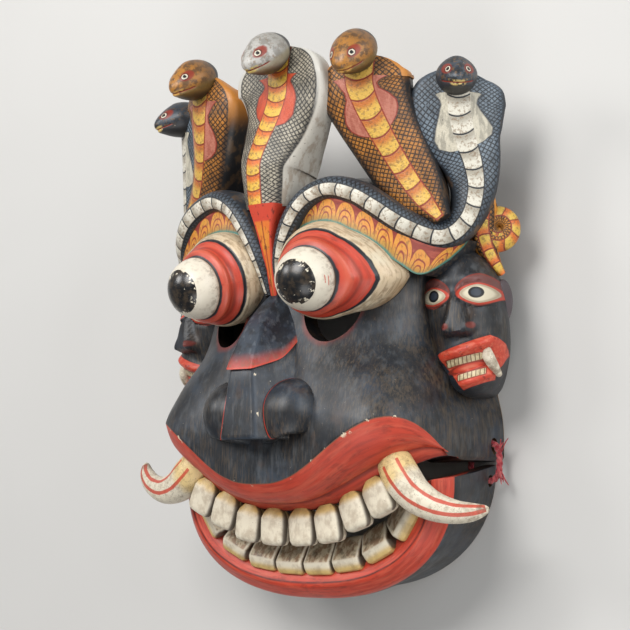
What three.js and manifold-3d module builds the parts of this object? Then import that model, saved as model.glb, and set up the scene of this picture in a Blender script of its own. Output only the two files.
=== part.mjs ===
// Carved and painted demon mask with five cobras, a tied lower jaw and small side faces.
// Millimetres. X is the mask's left, Y its crown, Z out of the face. It lies on its back rim at Z = 0.

import * as THREE from 'three';
import { mergeVertices } from 'three/addons/utils/BufferGeometryUtils.js';
import Module from 'manifold-3d';

const wasm = await Module();
wasm.setup();

// Driving dimensions

// Height of the middle of the mask, between chin and tallest cobra, in the carver's own levels
const MIDDLE_LEVEL = -11;

// Face shell: level y, half width, depth in front of the rim, and squareness of the section
const FACE_LEVELS = [
  [-175, 134, 162, 6.0],
  [-130, 134, 162, 6.0],
  [-95, 133, 160, 5.6],
  [-72, 128, 154, 4.6],
  [-45, 126, 147, 3.0],
  [-15, 127, 141, 2.4],
  [25, 129, 136, 2.3],
  [62, 131, 140, 2.4],
  [112, 130, 132, 2.4],
];
const FACE_TOP = 112;
const FACE_CAP_HEIGHT = 34;
const CAP_ROUNDNESS = 2.6;
const FACE_ROWS = [111.6, 107, 98, 80, 45, 5, -30, -55];
const ROWS_TO_LIP = 3;
const FACE_COLUMNS = 28;

// Hollow behind the face, in the same four measures
const HOLLOW_LEVELS = [
  [-210, 120, 97, 3.4],
  [-130, 120, 99, 3.4],
  [-95, 119, 118, 3.4],
  [-60, 113, 130, 3.0],
  [-15, 113, 124, 2.4],
  [60, 117, 115, 2.3],
  [98, 116, 112, 2.3],
];
const HOLLOW_TOP = 98;
const HOLLOW_CAP_HEIGHT = 32;
const HOLLOW_ROWS = [97.6, 90, 70, -15, -60, -95, -130, -210];
const HOLLOW_COLUMNS = 14;
const HOLLOW_MOUTH = -20;

// Upper lip: crest line, gum line and the corner where the lip ends, as angles round the face
const LIP = {
  crestMiddle: -149.5,
  crestPeak: -97,
  crestEase: 1.35,
  peakAngle: 45,
  cornerAngle: 27,
  cornerLevel: -127,
  gumMiddle: -171.5,
  gumEase: 1.4,
  gumEndAngle: 34,
  gumHalfWidth: 135,
  gumDepth: 119,
  gumSquareness: 5,
  roll: 5,
  rollEnd: 0.72,
  rollOut: 0.5,
  rollDown: 0.85,
  rows: [0.3, 0.55, 0.72, 1],
  startWidth: 10,
  jawSeam: -130,
  seamInset: 0.985,
  seamAngles: [19, 32],
};

// Eyes: bulb centre, axis, turn of the outer corner, and the almond outlines going back along the
// axis, each with its place, its radius above, its reach at the corner and its radius below
const EYE = {
  centre: [59.7, 9.3, 185],
  axis: [0.132, -0.231, 0.964],
  cornerTurn: -7,
  stations: [
    [62, 45, 71, 37],
    [47, 42, 66, 36],
    [36, 38.5, 56, 35],
    [33, 35.5, 51.5, 33],
    [21, 29.5, 34, 29],
    [17, 26, 26, 26],
    [9, 24.4, 24.4, 24.4],
    [0, 19.4, 19.4, 19.4],
    [-5.5, 12.6, 12.6, 12.6],
  ],
  apex: -8.8,
  apexRadius: 0.6,
  cornerSpread: 62,
  cornerPull: 1.5,
  sides: 16,
};
const EYE_HOLE = { x: 53, y: -5, halfWidth: 23, halfHeight: 30, from: 60, to: 200, sides: 16 };

// Nose: level y, ridge half width, ridge height z, foot half width, foot height z
const NOSE_LEVELS = [
  [14, 3, 130, 8, 124],
  [5, 5.5, 140, 16, 126],
  [-16, 8.5, 161, 27, 129],
  [-35, 10.5, 172.5, 34, 133],
  [-55, 12.5, 181.5, 38, 139],
  [-85, 15.7, 185, 41, 147],
  [-114, 18.8, 187.5, 44, 151],
];
// Flat of the ridge, drop at its edge, where the flank lies between ridge and foot, and sunk depth
const NOSE_SECTION = { flat: 0.8, edge: 2.5, flankOut: 0.42, flankDown: 0.56, sunk: 16 };
const NOSE_SADDLE = {
  levels: [14, -8, -30, -44, -59], rise: 36, halfWidth: 38, swell: 2.6, arch: 3.2, footOut: 1, footUp: 2,
};
const NOSTRIL = {
  x: 30, y: -93, z: 149, radii: [28, 29, 31], stretch: 1.5, tuck: 0.12, floor: -117, floorFrom: 15, lift: 0.2,
};

// Snakes: belly line x, y, z, half width, half thickness, sweep back of the edges, facing angle
const CENTRE_COBRA = [
  [-7, 77, 157, 22, 23, 11, -6],
  [-7, 96, 159, 25, 23, 11, -6],
  [-6, 115, 160, 28, 23, 10, -6],
  [-2, 134, 155, 32.5, 20, 11, -5],
  [4, 153, 150, 38.5, 15, 9, -4],
  [8, 171, 146, 47.5, 11.5, 1, -4],
  [8, 186, 145, 48, 10, -2, -4],
  [8, 199, 144, 41, 8.5, -1, -4],
  [8, 208, 143, 28, 6.5, 0, -4],
  [8, 213, 142, 12, 4, 0, -4],
];
const INNER_COBRA = [
  [142, 62, 104, 8, 10, 1, 30],
  [130, 76, 107, 18, 16, 4, 28],
  [118, 92, 110, 25, 18, 6, 25],
  [108, 110, 115, 28.5, 18, 8, 22],
  [100, 128, 122, 31, 16, 10, 20],
  [92, 150, 131, 34.5, 13, 11, 19],
  [87, 169, 137, 39, 11, 11, 18],
  [86, 181, 138, 37.5, 10, 10, 18],
  [85.5, 190, 137.5, 31, 8, 8, 18],
  [85, 197.5, 136, 20, 5.5, 5, 18],
  [85, 202.5, 134, 8, 3, 2, 18],
];
const OUTER_SNAKE = [
  [7, 6, 141, 5, 8, 0, 4],
  [11, 33, 151, 8, 11, 1, 6],
  [23, 61, 156, 10, 13, 2, 8],
  [40, 81, 156, 10.5, 17, 2, 11],
  [62, 89.5, 152, 10.5, 18, 2, 14],
  [85, 84, 147, 11.5, 18, 2, 18],
  [103, 73, 141, 12, 17, 2, 22],
  [121, 58.5, 127, 12.5, 16, 2, 28],
  [137, 49.5, 106, 12.5, 16, 2, 34],
  [147, 53, 94, 13, 15, 2, 37],
  [154, 67, 82, 14.5, 14, 3, 38],
  [157, 88, 76, 18.5, 13, 4, 38],
  [156, 108, 77, 24, 12, 5, 38],
  [152, 128, 82, 32, 11, 6, 38],
  [149, 148, 86, 38.5, 9.5, 6, 38],
  [149, 161, 87, 39.5, 9, 6, 38],
  [149.5, 171, 86, 37, 8, 5, 38],
  [149.5, 179, 85, 28, 6, 4, 38],
  [149.5, 185, 83, 13, 3, 2, 38],
];
// How square a section is where a snake is narrow and where it spreads, and those half widths
const SNAKE_SECTION = { narrow: 15, wide: 24, round: 2.4, flat: 6 };
// Heads bow forwards: middle, facing, dip and half sizes
const HEADS = {
  centre: { at: [6, 203.5, 160], facing: -6, dip: 33, size: [19, 17, 26] },
  leftInner: { at: [86, 196.5, 146], facing: 6, dip: 38, size: [19.5, 17.5, 26] },
  rightInner: { at: [86, 196.5, 146], facing: 6, dip: 26, size: [19, 17.5, 26] },
  outer: { at: [150, 178.5, 91], facing: 38, dip: 17, size: [17, 16, 24] },
};
const HEAD_SHAPE = { narrowSnout: 0.3, flatSnout: 0.32, narrowCrown: 0.22 };

// Brow underside: its edge under the snake and the line where it meets the eye
const BROW_UPPER = [
  [9, 20, 146], [24, 59, 148], [60, 86, 145], [94, 75, 138], [118, 56, 121], [136, 46, 100], [148, 47, 86],
];
const BROW_LOWER = [
  [12, 6, 134], [26, 46, 146], [57, 60, 147], [92, 44, 139], [116, 26, 127], [127, 17, 110], [139, 30, 88],
];
const BROW = { thickness: 36, steps: 9, hollow: 2 };

// Wedge between the brows: level, ridge height and half width
const WEDGE_LEVELS = [[80, 159, 14.5], [57, 154, 8.5], [30, 147, 5], [2, 140, 3]];
const WEDGE = { depth: 38, ridge: 1 };

// Side faces: middle, facing, lean and size; a snake's tail coils above each
const SIDE_FACE = {
  at: [131, -19, 46],
  facing: 24,
  lean: 9,
  size: [33, 61, 40],
  columns: 8,
  rows: 12,
  back: -30,
  backWidth: 0.8,
  end: 0.985,
  roundness: 2.4,
  squareness: 2.3,
  widerTop: 0.1,
  doming: 0.7,
  carvedFrom: [0.15, 0.6],
};
// Its carving, measured upright: nose, eye mounds and brows as place, size and height, and lips
const SIDE_NOSE = {
  across: -4, top: 27, tip: -14, topHalf: 4, tipHalf: 9, height: 10, topHeight: 4, fade: 11, tipFade: 5,
  widenOver: 24, lowerOver: 32, flank: [-3, 1],
};
const SIDE_MOUNDS = [[-23, 20, 11, 7, 3.5], [13, 21, 14, 8, 3.5], [-20, 33, 14, 6, 4], [13, 34, 15, 6, 4]];
const SIDE_LIPS = {
  level: -19, rise: 0.33, rolls: [[5, 5.5, 5.5], [32, 5, 5], [19, 5, -2]], left: -26, right: 32, fade: [7, 8],
};
const SIDE_EAR = { at: [30.5, 14, 2], radii: [6, 18, 12] };
const SIDE_TUSK = [[13.5, -24.5, 30, 4.5], [15.5, -31, 33, 5], [18, -39, 30, 4.5], [21, -48, 22, 2.5]];
const TAIL = [
  [157, 92, 62, 8, 8, 0, 40],
  [155, 76, 61, 12, 10, 1, 40],
  [153, 58, 59, 13, 12, 1, 40],
  [155, 41, 54, 10, 12, 1, 40],
  [159, 29, 48, 6, 9, 0, 42],
  [162, 21, 42, 3, 5, 0, 44],
];
const COIL = { at: [155, 60, 40], radius: 20.5, thickness: 11, facing: 40 };

// Upper teeth: sideways place, height of the middle, lean in degrees
const UPPER_TEETH = [[14.9, -184.5, 3], [42, -181.5, 9], [68, -171, 19], [92, -159.5, 26]];
const UPPER_TOOTH = {
  halfWidth: 13.3,
  halfHeight: 15.5,
  halfDepth: 8,
  z: 118.5,
  rings: [[-1, 0.7, 0.5], [-0.72, 0.96, 0.9], [0.45, 1, 1], [1, 0.5, 0.6]],
  sides: 8,
  squareness: 3.2,
};
const LOWER_TEETH = [[14.6, -209.5, 2], [43.5, -206, 8], [72, -196, 26], [96, -177, 56]];
// Its section is height, in half heights, and millimetres outwards
const LOWER_TOOTH = {
  halfWidth: 14.2,
  halfHeight: 13.5,
  z: 93,
  section: [[-1.1, 6], [-0.75, 9], [-0.38, 10.5], [1, -1], [1, -7], [-1.1, -8]],
  ends: [[-1, 0.78], [-0.72, 1], [0.72, 1], [1, 0.78]],
};

// Tusks: centre line x, y, z and radius from root to tip
const RIGHT_TUSK = [
  [103, -131, 115, 15], [113, -145, 117, 16], [124, -158, 115, 14.5], [140, -167, 113, 12],
  [157, -171.5, 108, 9.5], [171, -171.5, 102, 7], [181, -169, 96, 3],
];
const LEFT_TUSK = [
  [103, -131, 115, 15], [112, -141, 117, 16], [126, -150, 115, 14.5], [143, -154, 113, 12],
  [162, -149.5, 108, 9.5], [176, -140, 102, 7], [183, -130, 96, 3],
];

const TUSK_FLATNESS = 0.85;

// Lower jaw: a wall bent round the chin; each outline is half width, start level, drop and squareness
const JAW = {
  rim: [128, -133, 104, 2.15],
  side: [136, -140, 99, 2.2],
  lip: [142, -144, 101, 2.35],
  lipMiddle: [129, -146, 88, 2.3],
  gum: [114, -150, 73, 2.5],
  gumBack: [100, -152, 58, 2.5],
  wallBack: [120, -140, 84, 2.2],
  rimBack: [114, -133, 90, 2.15],
  heights: { side: 46, lip: 86, lipMiddle: 99, gum: 96, gumBack: 84, wallBack: 44 },
  stations: 22,
};

// Red cloth lashings that tie the jaw on: hole places, hole and cloth radii
const LASHING = {
  x: 125, z: 15, halfWidth: 14, upper: -115, lower: -147, hole: 5, cloth: 3.2,
  turns: 12, sides: 6, squareness: 3,
};

// Joining leaves slivers finer than this, which are closed up
const SLIVER = 1.1;
// Part of a row left off each end of a rounded solid
const POLE_CUT = 0.12;

// Curves and outlines

const toRadians = THREE.MathUtils.degToRad;

function cubic(a, b, c, d, t) {
  const slopeB = (c - a) / 2;
  const slopeC = (d - b) / 2;
  const t2 = t * t;
  const t3 = t2 * t;
  return b * (2 * t3 - 3 * t2 + 1) + slopeB * (t3 - 2 * t2 + t) + c * (3 * t2 - 2 * t3) + slopeC * (t3 - t2);
}

// A row of a table of stations at any place between its first (0) and last (1) rows
function stationAt(stations, place) {
  const last = stations.length - 1;
  const along = THREE.MathUtils.clamp(place, 0, 1) * last;
  const i = Math.min(Math.floor(along), last - 1);
  const rows = [i - 1, i, i + 1, i + 2].map((k) => stations[THREE.MathUtils.clamp(k, 0, last)]);
  return rows[1].map((_, k) => cubic(rows[0][k], rows[1][k], rows[2][k], rows[3][k], along - i));
}

// Values of a table whose first column is a level
function atLevel(levels, level) {
  const low = Math.min(levels[0][0], levels[levels.length - 1][0]);
  const high = Math.max(levels[0][0], levels[levels.length - 1][0]);
  const y = THREE.MathUtils.clamp(level, low, high);
  const i = levels.findIndex((row, k) => k + 1 < levels.length && (row[0] - y) * (levels[k + 1][0] - y) <= 0);
  const t = (y - levels[i][0]) / (levels[i + 1][0] - levels[i][0]);
  return levels[i].map((value, k) => THREE.MathUtils.lerp(value, levels[i + 1][k], t));
}

// Point of a rounded square outline, one unit across each way, at an angle from its X axis
function squared(angle, squareness) {
  const c = Math.cos(angle);
  const s = Math.sin(angle);
  const r = (Math.abs(c) ** squareness + Math.abs(s) ** squareness) ** (-1 / squareness);
  return [c * r, s * r];
}

function easeInOut(t) {
  return (1 - Math.cos(Math.PI * THREE.MathUtils.clamp(t, 0, 1))) / 2;
}

// Solids

// A closed skin over a stack of rings that all have the same number of points
function skinOver(rings) {
  const count = rings[0].length;
  const points = rings.flat();
  const index = [];
  for (let i = 0; i + 1 < rings.length; i += 1) {
    for (let k = 0; k < count; k += 1) {
      const a = i * count + k;
      const b = i * count + ((k + 1) % count);
      index.push(a, b, a + count, b, b + count, a + count);
    }
  }
  for (const end of [0, rings.length - 1]) {
    const middle = new THREE.Vector3();
    rings[end].forEach((p) => middle.addScaledVector(p, 1 / count));
    points.push(middle);
    for (let k = 0; k < count; k += 1) {
      const a = end * count + k;
      const b = end * count + ((k + 1) % count);
      index.push(...(end === 0 ? [b, a, points.length - 1] : [a, b, points.length - 1]));
    }
  }
  return bodyFrom(points, index);
}

function signedVolume(points, index) {
  let total = 0;
  for (let i = 0; i < index.length; i += 3) {
    const [a, b, c] = [points[index[i]], points[index[i + 1]], points[index[i + 2]]];
    total += a.dot(new THREE.Vector3().crossVectors(b, c)) / 6;
  }
  return total;
}

function bodyFrom(points, index) {
  const outward = signedVolume(points, index) > 0;
  const facing = outward ? index : index.slice().reverse();
  const geometry = new THREE.BufferGeometry();
  geometry.setAttribute('position', new THREE.Float32BufferAttribute(points.flatMap((p) => p.toArray()), 3));
  geometry.setIndex(facing);
  return geometry;
}

function toManifold(geometry) {
  const bare = geometry.clone();
  bare.deleteAttribute('normal');
  bare.deleteAttribute('uv');
  const merged = mergeVertices(bare, 1e-4);
  const vertProperties = new Float32Array(merged.attributes.position.array);
  const triVerts = new Uint32Array(merged.index.array);
  return new wasm.Manifold(new wasm.Mesh({ numProp: 3, vertProperties, triVerts }));
}

function toGeometry(manifold) {
  const mesh = manifold.getMesh();
  const geometry = new THREE.BufferGeometry();
  geometry.setAttribute('position', new THREE.Float32BufferAttribute(mesh.vertProperties, 3));
  geometry.setIndex(Array.from(mesh.triVerts));
  return geometry;
}

// A carved piece without the slivers that joining leaves
function cleaned(manifold) {
  return manifold.simplify(SLIVER);
}

function joined(geometries) {
  return geometries.map(toManifold).reduce((whole, next) => whole.add(next));
}

function mirrored(stations) {
  return stations.map((row) => {
    const copy = row.slice();
    copy[0] = -copy[0];
    if (copy.length === 7) copy[6] = -copy[6];
    return copy;
  });
}

// Two parts of the face that mirror each other
function bothSides(make) {
  return [make(1), make(-1)];
}

// Face shell

// How far a section shrinks where the shell closes over at its top
function capScale(level, top, height) {
  const t = THREE.MathUtils.clamp((level - (top - height)) / height, 0, 1);
  return (1 - t ** CAP_ROUNDNESS) ** (1 / CAP_ROUNDNESS);
}

function facePoint(angle, level) {
  const [, halfWidth, depth, squareness] = atLevel(FACE_LEVELS, level);
  const [u, v] = squared(angle, squareness);
  const scale = capScale(level, FACE_TOP, FACE_CAP_HEIGHT);
  return new THREE.Vector3(u * halfWidth * scale, level, v * depth * scale);
}

function hollowPoint(angle, level) {
  const [, halfWidth, depth, squareness] = atLevel(HOLLOW_LEVELS, level);
  const [u, v] = squared(angle, squareness);
  const scale = capScale(level, HOLLOW_TOP, HOLLOW_CAP_HEIGHT);
  return new THREE.Vector3(u * halfWidth * scale, level, v * depth * scale);
}

// Level of the lip's crest at an angle round the face, in degrees from the nearer rim
function crestLevel(fromRim) {
  if (fromRim >= LIP.peakAngle) {
    const t = (90 - fromRim) / (90 - LIP.peakAngle);
    return THREE.MathUtils.lerp(LIP.crestMiddle, LIP.crestPeak, easeInOut(t ** LIP.crestEase));
  }
  const t = THREE.MathUtils.clamp((LIP.peakAngle - fromRim) / (LIP.peakAngle - LIP.cornerAngle), 0, 1);
  const drop = 1 - Math.cos((t * Math.PI) / 2);
  return THREE.MathUtils.lerp(LIP.crestPeak, LIP.cornerLevel, drop);
}

function gumLevel(fromRim) {
  const t = (90 - fromRim) / (90 - LIP.gumEndAngle);
  return THREE.MathUtils.lerp(LIP.gumMiddle, LIP.cornerLevel, easeInOut(t ** LIP.gumEase));
}

function fromNearerRim(angle) {
  const degrees = THREE.MathUtils.radToDeg(angle);
  return Math.min(degrees, 180 - degrees);
}

function crestPoint(angle) {
  return facePoint(angle, crestLevel(fromNearerRim(angle)));
}

function gumPoint(angle) {
  const fromRim = fromNearerRim(angle);
  const [u, v] = squared(angle, LIP.gumSquareness);
  const front = new THREE.Vector3(u * LIP.gumHalfWidth, gumLevel(fromRim), v * LIP.gumDepth);
  const behind = facePoint(angle, LIP.jawSeam);
  behind.x *= LIP.seamInset;
  return behind.lerp(front, THREE.MathUtils.smoothstep(fromRim, ...LIP.seamAngles));
}

// The lip between crest and gum, with a full roll above a narrow groove
function lipPoint(angle, share) {
  const crest = crestPoint(angle);
  const point = crest.clone().lerp(gumPoint(angle), share);
  const start = LIP.cornerAngle;
  const band = THREE.MathUtils.smoothstep(fromNearerRim(angle), start, start + LIP.startWidth);
  const { rollOut, rollDown } = LIP;
  const out = new THREE.Vector3(Math.cos(angle) * rollOut, -rollDown, Math.sin(angle) * rollOut).normalize();
  return point.addScaledVector(out, LIP.roll * band * Math.sin(Math.PI * Math.min(1, share / LIP.rollEnd)));
}

function angles(columns) {
  return Array.from({ length: columns + 1 }, (_, i) => (Math.PI * i) / columns);
}

function faceShell() {
  const around = angles(FACE_COLUMNS);
  const rings = FACE_ROWS.map((level) => around.map((angle) => facePoint(angle, level)));
  const start = FACE_ROWS[FACE_ROWS.length - 1];
  for (let i = 1; i <= ROWS_TO_LIP; i += 1) {
    const share = i / ROWS_TO_LIP;
    const level = (angle) => THREE.MathUtils.lerp(start, crestLevel(fromNearerRim(angle)), share);
    rings.push(around.map((angle) => facePoint(angle, level(angle))));
  }
  for (const share of LIP.rows) {
    rings.push(around.map((angle) => lipPoint(angle, share)));
  }
  return skinOver(rings);
}

function faceHollow() {
  const around = angles(HOLLOW_COLUMNS);
  const rings = HOLLOW_ROWS.map((level) => {
    const ring = around.map((angle) => hollowPoint(angle, level));
    ring.push(new THREE.Vector3(ring[HOLLOW_COLUMNS].x, level, HOLLOW_MOUTH));
    ring.push(new THREE.Vector3(ring[0].x, level, HOLLOW_MOUTH));
    return ring;
  });
  return skinOver(rings);
}

function eyeHole(side) {
  const ring = (z) => Array.from({ length: EYE_HOLE.sides }, (_, i) => {
    const a = (2 * Math.PI * i) / EYE_HOLE.sides;
    const x = EYE_HOLE.x + EYE_HOLE.halfWidth * Math.cos(a);
    return new THREE.Vector3(side * x, EYE_HOLE.y + EYE_HOLE.halfHeight * Math.sin(a), z);
  });
  return skinOver([ring(EYE_HOLE.from), ring(EYE_HOLE.to)]);
}

// Eyes, nose and brows

// Radius of a round outline drawn out to a point at its outer corner and flattened below
function almond(angle, radius, corner, below) {
  const turn = angle - toRadians(EYE.cornerTurn);
  const fromCorner = Math.abs(THREE.MathUtils.radToDeg(Math.atan2(Math.sin(turn), Math.cos(turn))));
  const flattened = radius + (below - radius) * Math.max(0, -Math.sin(angle)) ** 2;
  return flattened + (corner - radius) * Math.max(0, 1 - fromCorner / EYE.cornerSpread) ** EYE.cornerPull;
}

function eye(side) {
  const axis = new THREE.Vector3(...EYE.axis).normalize();
  const outward = new THREE.Vector3(1, 0, 0).addScaledVector(axis, -axis.x).normalize();
  const up = new THREE.Vector3().crossVectors(axis, outward);
  const centre = new THREE.Vector3(...EYE.centre);
  const place = (back, angle, radius) => centre.clone().addScaledVector(axis, -back)
    .addScaledVector(outward, radius * Math.cos(angle))
    .addScaledVector(up, radius * Math.sin(angle));
  const flip = (p) => new THREE.Vector3(side * p.x, p.y, p.z);
  const around = Array.from({ length: EYE.sides }, (_, i) => (2 * Math.PI * i) / EYE.sides);
  const rings = EYE.stations.map(([back, ...outline]) => (
    around.map((angle) => flip(place(back, angle, almond(angle, ...outline))))
  ));
  rings.push(around.map((angle) => flip(place(EYE.apex, angle, EYE.apexRadius))));
  return skinOver(rings);
}

// Half a section of the nose, from the ridge to the foot and down into the face
function noseCorners([, ridgeHalf, ridgeZ, footHalf, footZ]) {
  const { flat, edge, flankOut, flankDown, sunk } = NOSE_SECTION;
  return [
    [ridgeHalf * flat, ridgeZ],
    [ridgeHalf, ridgeZ - edge],
    [THREE.MathUtils.lerp(ridgeHalf, footHalf, flankOut), THREE.MathUtils.lerp(ridgeZ, footZ, flankDown)],
    [footHalf, footZ],
    [footHalf, footZ - sunk],
  ];
}

function noseRing(half) {
  const right = half.map(([x, y, z]) => new THREE.Vector3(x, y, z));
  const left = half.map(([x, y, z]) => new THREE.Vector3(-x, y, z)).reverse();
  return [...right, ...left];
}

function nose() {
  return skinOver(NOSE_LEVELS.map((row) => noseRing(noseCorners(row).map(([x, z]) => [x, row[0], z]))));
}

// The fuller upper part of the nose, whose lower edge is an arch
function noseSaddle() {
  const { levels, rise, halfWidth, swell, arch, footOut, footUp } = NOSE_SADDLE;
  const [top, end] = [levels[0], levels[levels.length - 1]];
  return skinOver(levels.map((level) => {
    const share = (top - level) / (top - end);
    const fuller = (y) => {
      const [, ridgeHalf, ridgeZ, footHalf, footZ] = atLevel(NOSE_LEVELS, y);
      const ridge = [ridgeHalf + swell * share, ridgeZ + swell * Math.sqrt(share)];
      return noseCorners([y, ...ridge, footHalf + footOut, footZ + footUp]);
    };
    return noseRing(fuller(level).map(([x], i) => {
      const y = level + rise * share * Math.min(1, x / halfWidth) ** arch;
      const [across, depth] = fuller(y)[i];
      return [across, y, depth];
    }));
  }));
}

// A rounded solid; its ends are cut a little short of their poles
function ellipsoid(centre, radii, columns, rows, shape = (p) => p) {
  const rings = [];
  for (let i = 0; i <= rows; i += 1) {
    const tilt = (Math.PI * Math.min(Math.max(i, POLE_CUT), rows - POLE_CUT)) / rows;
    rings.push(Array.from({ length: columns }, (_, k) => {
      const turn = (2 * Math.PI * k) / columns;
      const unit = new THREE.Vector3(
        Math.sin(tilt) * Math.cos(turn),
        Math.sin(tilt) * Math.sin(turn),
        Math.cos(tilt),
      );
      const p = shape(unit.multiply(new THREE.Vector3(...radii)));
      return p.add(new THREE.Vector3(...centre));
    }));
  }
  return skinOver(rings);
}

// A wing of the nose: round above, fuller below and cut off by a floor that rises outwards
function nostril(side) {
  const { x, y, z, radii, stretch, tuck, floorFrom, lift } = NOSTRIL;
  const shape = (p) => {
    const low = Math.max(0, -p.y) * stretch;
    const inward = p.x - side * tuck * low;
    const floor = NOSTRIL.floor - y + lift * (x + side * inward - floorFrom);
    return p.set(inward, Math.max(p.y < 0 ? -low : p.y, floor), p.z);
  };
  return ellipsoid([side * x, y, z], radii, 12, 6, shape);
}

// The roof over the eye, a slab between the snake above and the eye below
function browUnderside(side) {
  const back = new THREE.Vector3(0, 0, -BROW.thickness);
  const rings = [];
  for (let i = 0; i <= BROW.steps; i += 1) {
    const upper = new THREE.Vector3(...stationAt(BROW_UPPER, i / BROW.steps));
    const lower = new THREE.Vector3(...stationAt(BROW_LOWER, i / BROW.steps));
    const middle = upper.clone().lerp(lower, 0.5);
    middle.z -= BROW.hollow;
    middle.y += BROW.hollow / 2;
    const front = [upper, middle, lower];
    const behind = [lower, middle, upper].map((p) => p.clone().add(back));
    rings.push([...front, ...behind].map((p) => new THREE.Vector3(side * p.x, p.y, p.z)));
  }
  return skinOver(rings);
}

function centreWedge() {
  const { depth, ridge } = WEDGE;
  return skinOver(WEDGE_LEVELS.map(([y, z, half]) => {
    const section = [[-half, z - ridge], [0, z], [half, z - ridge], [half, z - depth], [-half, z - depth]];
    return section.map(([across, height]) => new THREE.Vector3(across, y, height));
  }));
}

// Snakes

// A snake's body: sections square to its belly line, flattened and swept back where it spreads
function snakeBody(stations, sections, sides) {
  const rings = [];
  for (let i = 0; i <= sections; i += 1) {
    const place = i / sections;
    const [x, y, z, halfWidth, halfThickness, sweep, facing] = stationAt(stations, place);
    const ahead = new THREE.Vector3(...stationAt(stations, place + 0.01).slice(0, 3));
    const behind = new THREE.Vector3(...stationAt(stations, place - 0.01).slice(0, 3));
    const along = ahead.sub(behind).normalize();
    const front = new THREE.Vector3(Math.sin(toRadians(facing)), 0, Math.cos(toRadians(facing)));
    front.addScaledVector(along, -front.dot(along)).normalize();
    const across = new THREE.Vector3().crossVectors(along, front);
    const centre = new THREE.Vector3(x, y, z).addScaledVector(front, -halfThickness);
    const flatness = THREE.MathUtils.smoothstep(halfWidth, SNAKE_SECTION.narrow, SNAKE_SECTION.wide);
    const squareness = THREE.MathUtils.lerp(SNAKE_SECTION.round, SNAKE_SECTION.flat, flatness);
    rings.push(Array.from({ length: sides }, (_, k) => {
      const [u, v] = squared((2 * Math.PI * k) / sides, squareness);
      return centre.clone()
        .addScaledVector(across, u * halfWidth)
        .addScaledVector(front, v * halfThickness - sweep * u * u);
    }));
  }
  return skinOver(rings);
}

// A snake's head: an egg that narrows to the snout and the crown
function snakeHead({ at, facing, dip, size }, side) {
  const [halfWidth, halfHeight, halfLength] = size;
  const turn = new THREE.Euler(toRadians(dip), side * toRadians(facing), 0, 'YXZ');
  const shape = (p) => {
    const forward = Math.max(0, p.z / halfLength);
    const upward = Math.max(0, p.y / halfHeight);
    p.x *= (1 - HEAD_SHAPE.narrowSnout * forward) * (1 - HEAD_SHAPE.narrowCrown * upward ** 2);
    p.y *= 1 - HEAD_SHAPE.flatSnout * forward;
    return p.applyEuler(turn);
  };
  return ellipsoid([side * at[0], at[1], at[2]], [halfWidth, halfHeight, halfLength], 8, 5, shape);
}

function crest() {
  const sideOf = (stations, side) => (side > 0 ? stations : mirrored(stations));
  return [
    snakeBody(CENTRE_COBRA, 9, 8),
    snakeHead(HEADS.centre, 1),
    ...bothSides((side) => snakeBody(sideOf(INNER_COBRA, side), 9, 8)),
    snakeHead(HEADS.leftInner, 1),
    snakeHead(HEADS.rightInner, -1),
    ...bothSides((side) => snakeBody(sideOf(OUTER_SNAKE, side), 21, 8)),
    ...bothSides((side) => snakeHead(HEADS.outer, side)),
    ...bothSides((side) => snakeBody(sideOf(TAIL, side), 4, 7)),
    ...bothSides(tailCoil),
  ];
}

// The snake's tail lies coiled into a thick round, here one smooth disc
function tailCoil(side) {
  const turn = new THREE.Euler(0, side * toRadians(COIL.facing), 0);
  const [x, y, z] = COIL.at;
  const shape = (p) => p.applyEuler(turn);
  return ellipsoid([side * x, y, z], [COIL.radius, COIL.radius, COIL.thickness], 8, 5, shape);
}

// Side faces

// Height of the small face's carving in front of its plain egg, at a place across and up, unleaned
function sideFaceRelief(p, q) {
  const { smoothstep, clamp, lerp } = THREE.MathUtils;
  const { across, top, tip, topHalf, tipHalf, height, topHeight, fade, tipFade, flank } = SIDE_NOSE;
  const down = clamp((top - fade - q) / SIDE_NOSE.widenOver, 0, 1);
  const half = lerp(topHalf, tipHalf, down);
  const ridge = smoothstep(half - Math.abs(p - across), ...flank);
  const span = smoothstep(q, tip, tip + tipFade) * (1 - smoothstep(q, top - fade, top));
  const noseHeight = lerp(height, topHeight, clamp((q - tip - tipFade) / SIDE_NOSE.lowerOver, 0, 1));
  const mounds = SIDE_MOUNDS.reduce((total, [x, y, w, h, amount]) => (
    total + amount * Math.exp(-(((p - x) / w) ** 2) - (((q - y) / h) ** 2))
  ), 0);
  const belowLip = SIDE_LIPS.level + SIDE_LIPS.rise * p - q;
  const rolls = SIDE_LIPS.rolls.reduce((total, [drop, thickness, amount]) => (
    total + amount * Math.exp(-(((belowLip - drop) / thickness) ** 2))
  ), 0);
  const { left, right } = SIDE_LIPS;
  const [leftFade, rightFade] = SIDE_LIPS.fade;
  const onMouth = smoothstep(p, left, left + leftFade) * (1 - smoothstep(p, right - rightFade, right));
  return noseHeight * ridge * span + mounds + rolls * onMouth;
}

function sideFaceFrame(side) {
  const turn = new THREE.Euler(0, side * toRadians(SIDE_FACE.facing), side * toRadians(SIDE_FACE.lean), 'YXZ');
  const at = new THREE.Vector3(side * SIDE_FACE.at[0], SIDE_FACE.at[1], SIDE_FACE.at[2]);
  return (x, y, z) => new THREE.Vector3(side * x, y, z).applyEuler(turn).add(at);
}

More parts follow.
